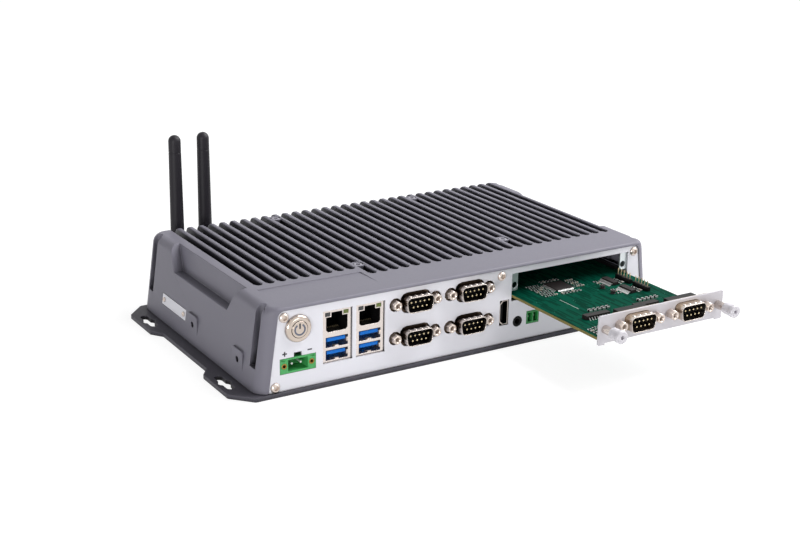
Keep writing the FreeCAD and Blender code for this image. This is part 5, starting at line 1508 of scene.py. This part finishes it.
    def thumbscrew(self, node: str, body: Body) -> None:
        """Turn a thumbscrew with a knurled sleeve, a plain head and a hexagon socket.

        Args:
            node: CAD thumbscrew that it stands for.
            body: body that it rides on.
        """
        low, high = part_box(node)
        foot = middle((low, high))
        foot.y = low.y + self.knob_length * MM
        tail = (high.y - foot.y) / MM
        shank = self.shank_radius
        wide = self.knob_radius
        slim = wide - self.sleeve_slim
        top = self.knob_length
        neck = top - self.knob_head
        below, above = self.knurl_margins
        profile = [(0, -tail), (shank - self.shank_point[0], -tail)]
        profile += [(shank, self.shank_point[1] - tail), (shank, 0)]
        profile += [(slim - off, up) for off, up in self.sleeve_foot]
        profile += [(slim, below, Section.KNURL), (slim, neck - above, Section.KNURL)]
        profile += [(slim - self.sleeve_groove[0], neck - self.sleeve_groove[1]), (slim, neck)]
        profile += [(wide - off, neck + up) for off, up in self.head_foot]
        profile += [(wide - off, top - down) for off, down in self.head_round]
        profile += self.knob_socket.profile(top)
        mesh = aim(turned(profile, self.knob_steps), foot, Facing.FRONT)
        piece(node + "_knurled", mesh, [SATIN_NICKEL], body, [node])

    def build(self) -> None:
        """Build every new piece of the card."""
        self.chip_leads()
        self.small_parts()
        self.drums_and_print()
        self.thumbscrew("thumbscrew_left", Body.LEFT_THUMBSCREW)
        self.thumbscrew("thumbscrew_right", Body.RIGHT_THUMBSCREW)
        self.serial.build()


@dataclass
class Antennas:
    """Two rubber whips on turning, tilting elbows behind the case.

    The collar's edge is what it takes off the radius and off the height, and the seam's points are steps
    from the tip's radius and from the seam's height.
    """

    root_rise: float = 5.2
    hinge_height: float = 25.0
    root_radius: float = 4.4
    root_edge: float = 0.4
    collar: float = 8.0
    collar_edge: tuple[float, float] = (0.1, 0.15)
    waist_radius: float = 4.15
    waist_rise: float = 0.1
    tip_radius: float = 3.7
    tip_steps: int = 9
    whip_steps: int = 40
    cap_length: float = 10.5
    seam: tuple[tuple[float, float], ...] = ((0.04, -0.3), (-0.1, -0.15), (-0.1, 0.15), (0.02, 0.3))
    tongue_radius: float = 3.9
    tongue_thickness: float = 3.6
    tongue_steps: int = 20

    def dress(self) -> None:
        """Give the CAD nodes of the antennas' feet their finishes."""
        dress("antenna_jacks", BRASS, edge_mm=0.1)
        dress("antenna_elbow_left", RUBBER, edge_mm=0.3, segments=3)
        dress("antenna_elbow_right", RUBBER, edge_mm=0.3, segments=3)

    def whip(self, node: str, body: Body) -> None:
        """Turn one whip with a stepped collar, a groove below its round tip, and a hinge tongue.

        Args:
            node: CAD whip that it stands for.
            body: body that it rides on.
        """
        low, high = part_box(node)
        foot = middle((low, high))
        foot.z = (self.hinge_height + self.root_rise) * MM
        length = (high.z - foot.z) / MM
        root = self.root_radius
        tip = self.tip_radius
        seam = length - self.cap_length
        shoulder = length - tip
        profile = [(0, 0), (root - self.root_edge, 0), (root, self.root_edge)]
        profile += [(root, self.collar - self.collar_edge[1]), (root - self.collar_edge[0], self.collar)]
        profile.append((self.waist_radius, self.collar + self.waist_rise))
        profile += [(tip + out, seam + up) for out, up in self.seam]
        for step in range(self.tip_steps):
            angle = math.pi / 2 * step / self.tip_steps
            profile.append((tip * math.cos(angle), shoulder + tip * math.sin(angle)))
        profile.append((0, length))
        rubber = aim(turned(profile, self.whip_steps), foot, Facing.UP)
        mesh = gather([rubber, self.tongue(foot)])
        piece(node + "_turned", mesh, [RUBBER], body, [node])

    def tongue(self, foot: Vector) -> bmesh.types.BMesh:
        """Make the flat hinge tongue under a whip.

        Args:
            foot: middle of the whip's foot.

        Returns:
            The tongue's mesh.
        """
        mesh = bmesh.new()
        half = self.tongue_thickness / 2 * MM
        hinge = foot - Vector((0, 0, self.root_rise * MM))
        start = mesh.verts.new(hinge + Vector((-half, self.tongue_radius * MM, 0)))
        arc = bmesh.ops.spin(
            mesh, geom=[start], cent=hinge, axis=(-1, 0, 0), angle=math.pi, steps=self.tongue_steps,
            use_duplicate=False,
        )
        last = [item for item in arc["geom_last"] if isinstance(item, bmesh.types.BMVert)][0]
        rise = Vector((0, 0, self.root_rise * MM))
        tops = [mesh.verts.new(end.co + rise) for end in (last, start)]
        mesh.edges.new((last, tops[0]))
        mesh.edges.new(tops)
        mesh.edges.new((tops[1], start))
        bmesh.ops.contextual_create(mesh, geom=mesh.edges[:])
        side = bmesh.ops.extrude_face_region(mesh, geom=mesh.faces[:])
        moved = [item for item in side["geom"] if isinstance(item, bmesh.types.BMVert)]
        bmesh.ops.translate(mesh, vec=(2 * half, 0, 0), verts=moved)
        bmesh.ops.recalc_face_normals(mesh, faces=mesh.faces)
        return mesh

    def build(self) -> None:
        """Build both whips."""
        self.whip("antenna_whip_left", Body.LEFT_WHIP)
        self.whip("antenna_whip_right", Body.RIGHT_WHIP)


@dataclass(frozen=True)
class Lamp:
    """A soft square lamp: where it hangs and what it faces, its side in metres, and its power in watts."""

    name: str
    place: tuple[float, float, float]
    target: tuple[float, float, float]
    side: float
    power: float


@dataclass
class Studio:
    """White floor and surround, soft lamps, and a camera at the photograph's place.

    The camera's place, lens and sensor are in millimetres, its roll is in degrees, and the floor's size and
    drop and the farthest distance are in metres.
    """

    camera_place: tuple[float, float, float] = (-413.55, -668.39, 290.63)
    forward: tuple[float, float, float] = (0.5005, 0.8058, -0.3166)
    roll: float = 1.01
    lens: float = 63.19
    sensor: float = 36.0
    farthest: float = 20.0
    floor_size: float = 6.0
    floor_drop: float = 0.0003
    paper: str = "#f2f2f2"
    white: str = "#ffffff"
    glow: float = 1.25
    glow_share: float = 0.72
    surround: float = 0.12
    lamps: tuple[Lamp, ...] = (
        Lamp("top_lamp", (0.9, -0.15, 1.05), (0, 0, 0.02), side=1.2, power=33.0),
        Lamp("left_lamp", (-1.2, -0.9, 0.13), (0, 0, 0.03), side=0.45, power=11.5),
        Lamp("front_lamp", (0.3, -1.7, 0.35), (0, 0, 0.03), side=0.6, power=3.0),
    )

    def camera(self) -> None:
        """Set the camera where the photograph was taken from."""
        data = bpy.data.cameras.new("camera")
        data.lens = self.lens
        data.sensor_width = self.sensor
        data.clip_end = self.farthest
        made = bpy.data.objects.new("camera", data)
        bpy.context.scene.collection.objects.link(made)
        forward = Vector(self.forward).normalized()
        right = forward.cross(Vector((0, 0, 1))).normalized()
        up = right.cross(forward)
        lean = math.radians(self.roll)
        leaning = right * math.cos(lean) + up * math.sin(lean)
        upward = up * math.cos(lean) - right * math.sin(lean)
        turn = Matrix((leaning, upward, -forward)).transposed().to_4x4()
        made.matrix_world = Matrix.Translation(Vector(self.camera_place) * MM) @ turn
        bpy.context.scene.camera = made

    def seen(self, tree: bpy.types.NodeTree) -> Socket:
        """Tell the rays that look at the background, straight or in metal or glass, from those that light.

        Args:
            tree: node tree of the floor or the world.

        Returns:
            One for camera, glossy and transmission rays.
        """
        path = add_node(tree, "LightPath").outputs
        straight = {0: path["Is Camera Ray"], 1: path["Is Glossy Ray"]}
        mirrored = add_node(tree, "Math", straight, operation="MAXIMUM").outputs[0]
        through = {0: mirrored, 1: path["Is Transmission Ray"]}
        return add_node(tree, "Math", through, operation="MAXIMUM").outputs[0]

    def floor(self) -> None:
        """Lay a white floor that glows to the rays that look at it, and keeps a faint shadow."""
        mesh = bmesh.new()
        bmesh.ops.create_grid(mesh, x_segments=1, y_segments=1, size=self.floor_size / 2)
        bmesh.ops.translate(mesh, vec=(0, 0, -self.floor_drop), verts=mesh.verts)
        data = bpy.data.meshes.new("floor")
        mesh.to_mesh(data)
        mesh.free()
        made = bpy.data.objects.new("floor", data)
        bpy.context.scene.collection.objects.link(made)
        paper = bpy.data.materials.new("white_paper_floor")
        paper.use_nodes = True
        tree = paper.node_tree
        tree.nodes.clear()
        matt = add_node(tree, "BsdfDiffuse", {"Color": linear(self.paper)})
        glow = add_node(tree, "Emission", {"Color": linear(self.white), "Strength": self.glow})
        share = add_node(tree, "Math", {0: self.seen(tree), 1: self.glow_share}, operation="MULTIPLY")
        both = add_node(tree, "MixShader", {0: share.outputs[0], 1: matt.outputs[0], 2: glow.outputs[0]})
        add_node(tree, "OutputMaterial", {"Surface": both.outputs[0]})
        data.materials.append(paper)

    def world(self) -> None:
        """Surround the scene with white that lights it softly."""
        world = bpy.data.worlds.new("white_surround")
        bpy.context.scene.world = world
        world.use_nodes = True
        tree = world.node_tree
        tree.nodes.clear()
        ends = {"Value": self.seen(tree), "To Min": self.surround, "To Max": 1.0}
        strength = add_node(tree, "MapRange", ends)
        white = {"Color": linear(self.white), "Strength": strength.outputs["Result"]}
        light = add_node(tree, "Background", white)
        add_node(tree, "OutputWorld", {"Surface": light.outputs[0]})

    def hang(self, lamp: Lamp) -> None:
        """Hang one lamp.

        Args:
            lamp: the lamp.
        """
        data = bpy.data.lights.new(lamp.name, "AREA")
        data.shape = "SQUARE"
        data.size = lamp.side
        data.energy = lamp.power
        made = bpy.data.objects.new(lamp.name, data)
        bpy.context.scene.collection.objects.link(made)
        turn = (Vector(lamp.target) - Vector(lamp.place)).to_track_quat("-Z", "Y").to_matrix().to_4x4()
        made.matrix_world = Matrix.Translation(lamp.place) @ turn

    def build(self) -> None:
        """Build the floor, the surround, the lamps and the camera."""
        bpy.context.scene.view_settings.view_transform = "Standard"
        self.floor()
        self.world()
        for lamp in self.lamps:
            self.hang(lamp)
        self.camera()


def main() -> None:
    """Build every sub-assembly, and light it."""
    logging.basicConfig(level=logging.INFO, format="%(message)s")
    for part in (Case(), PortPanel(), PowerButton(), SerialCard(), Antennas()):
        part.dress()
        part.build()
    Studio().build()


if __name__ == "__main__":
    main()
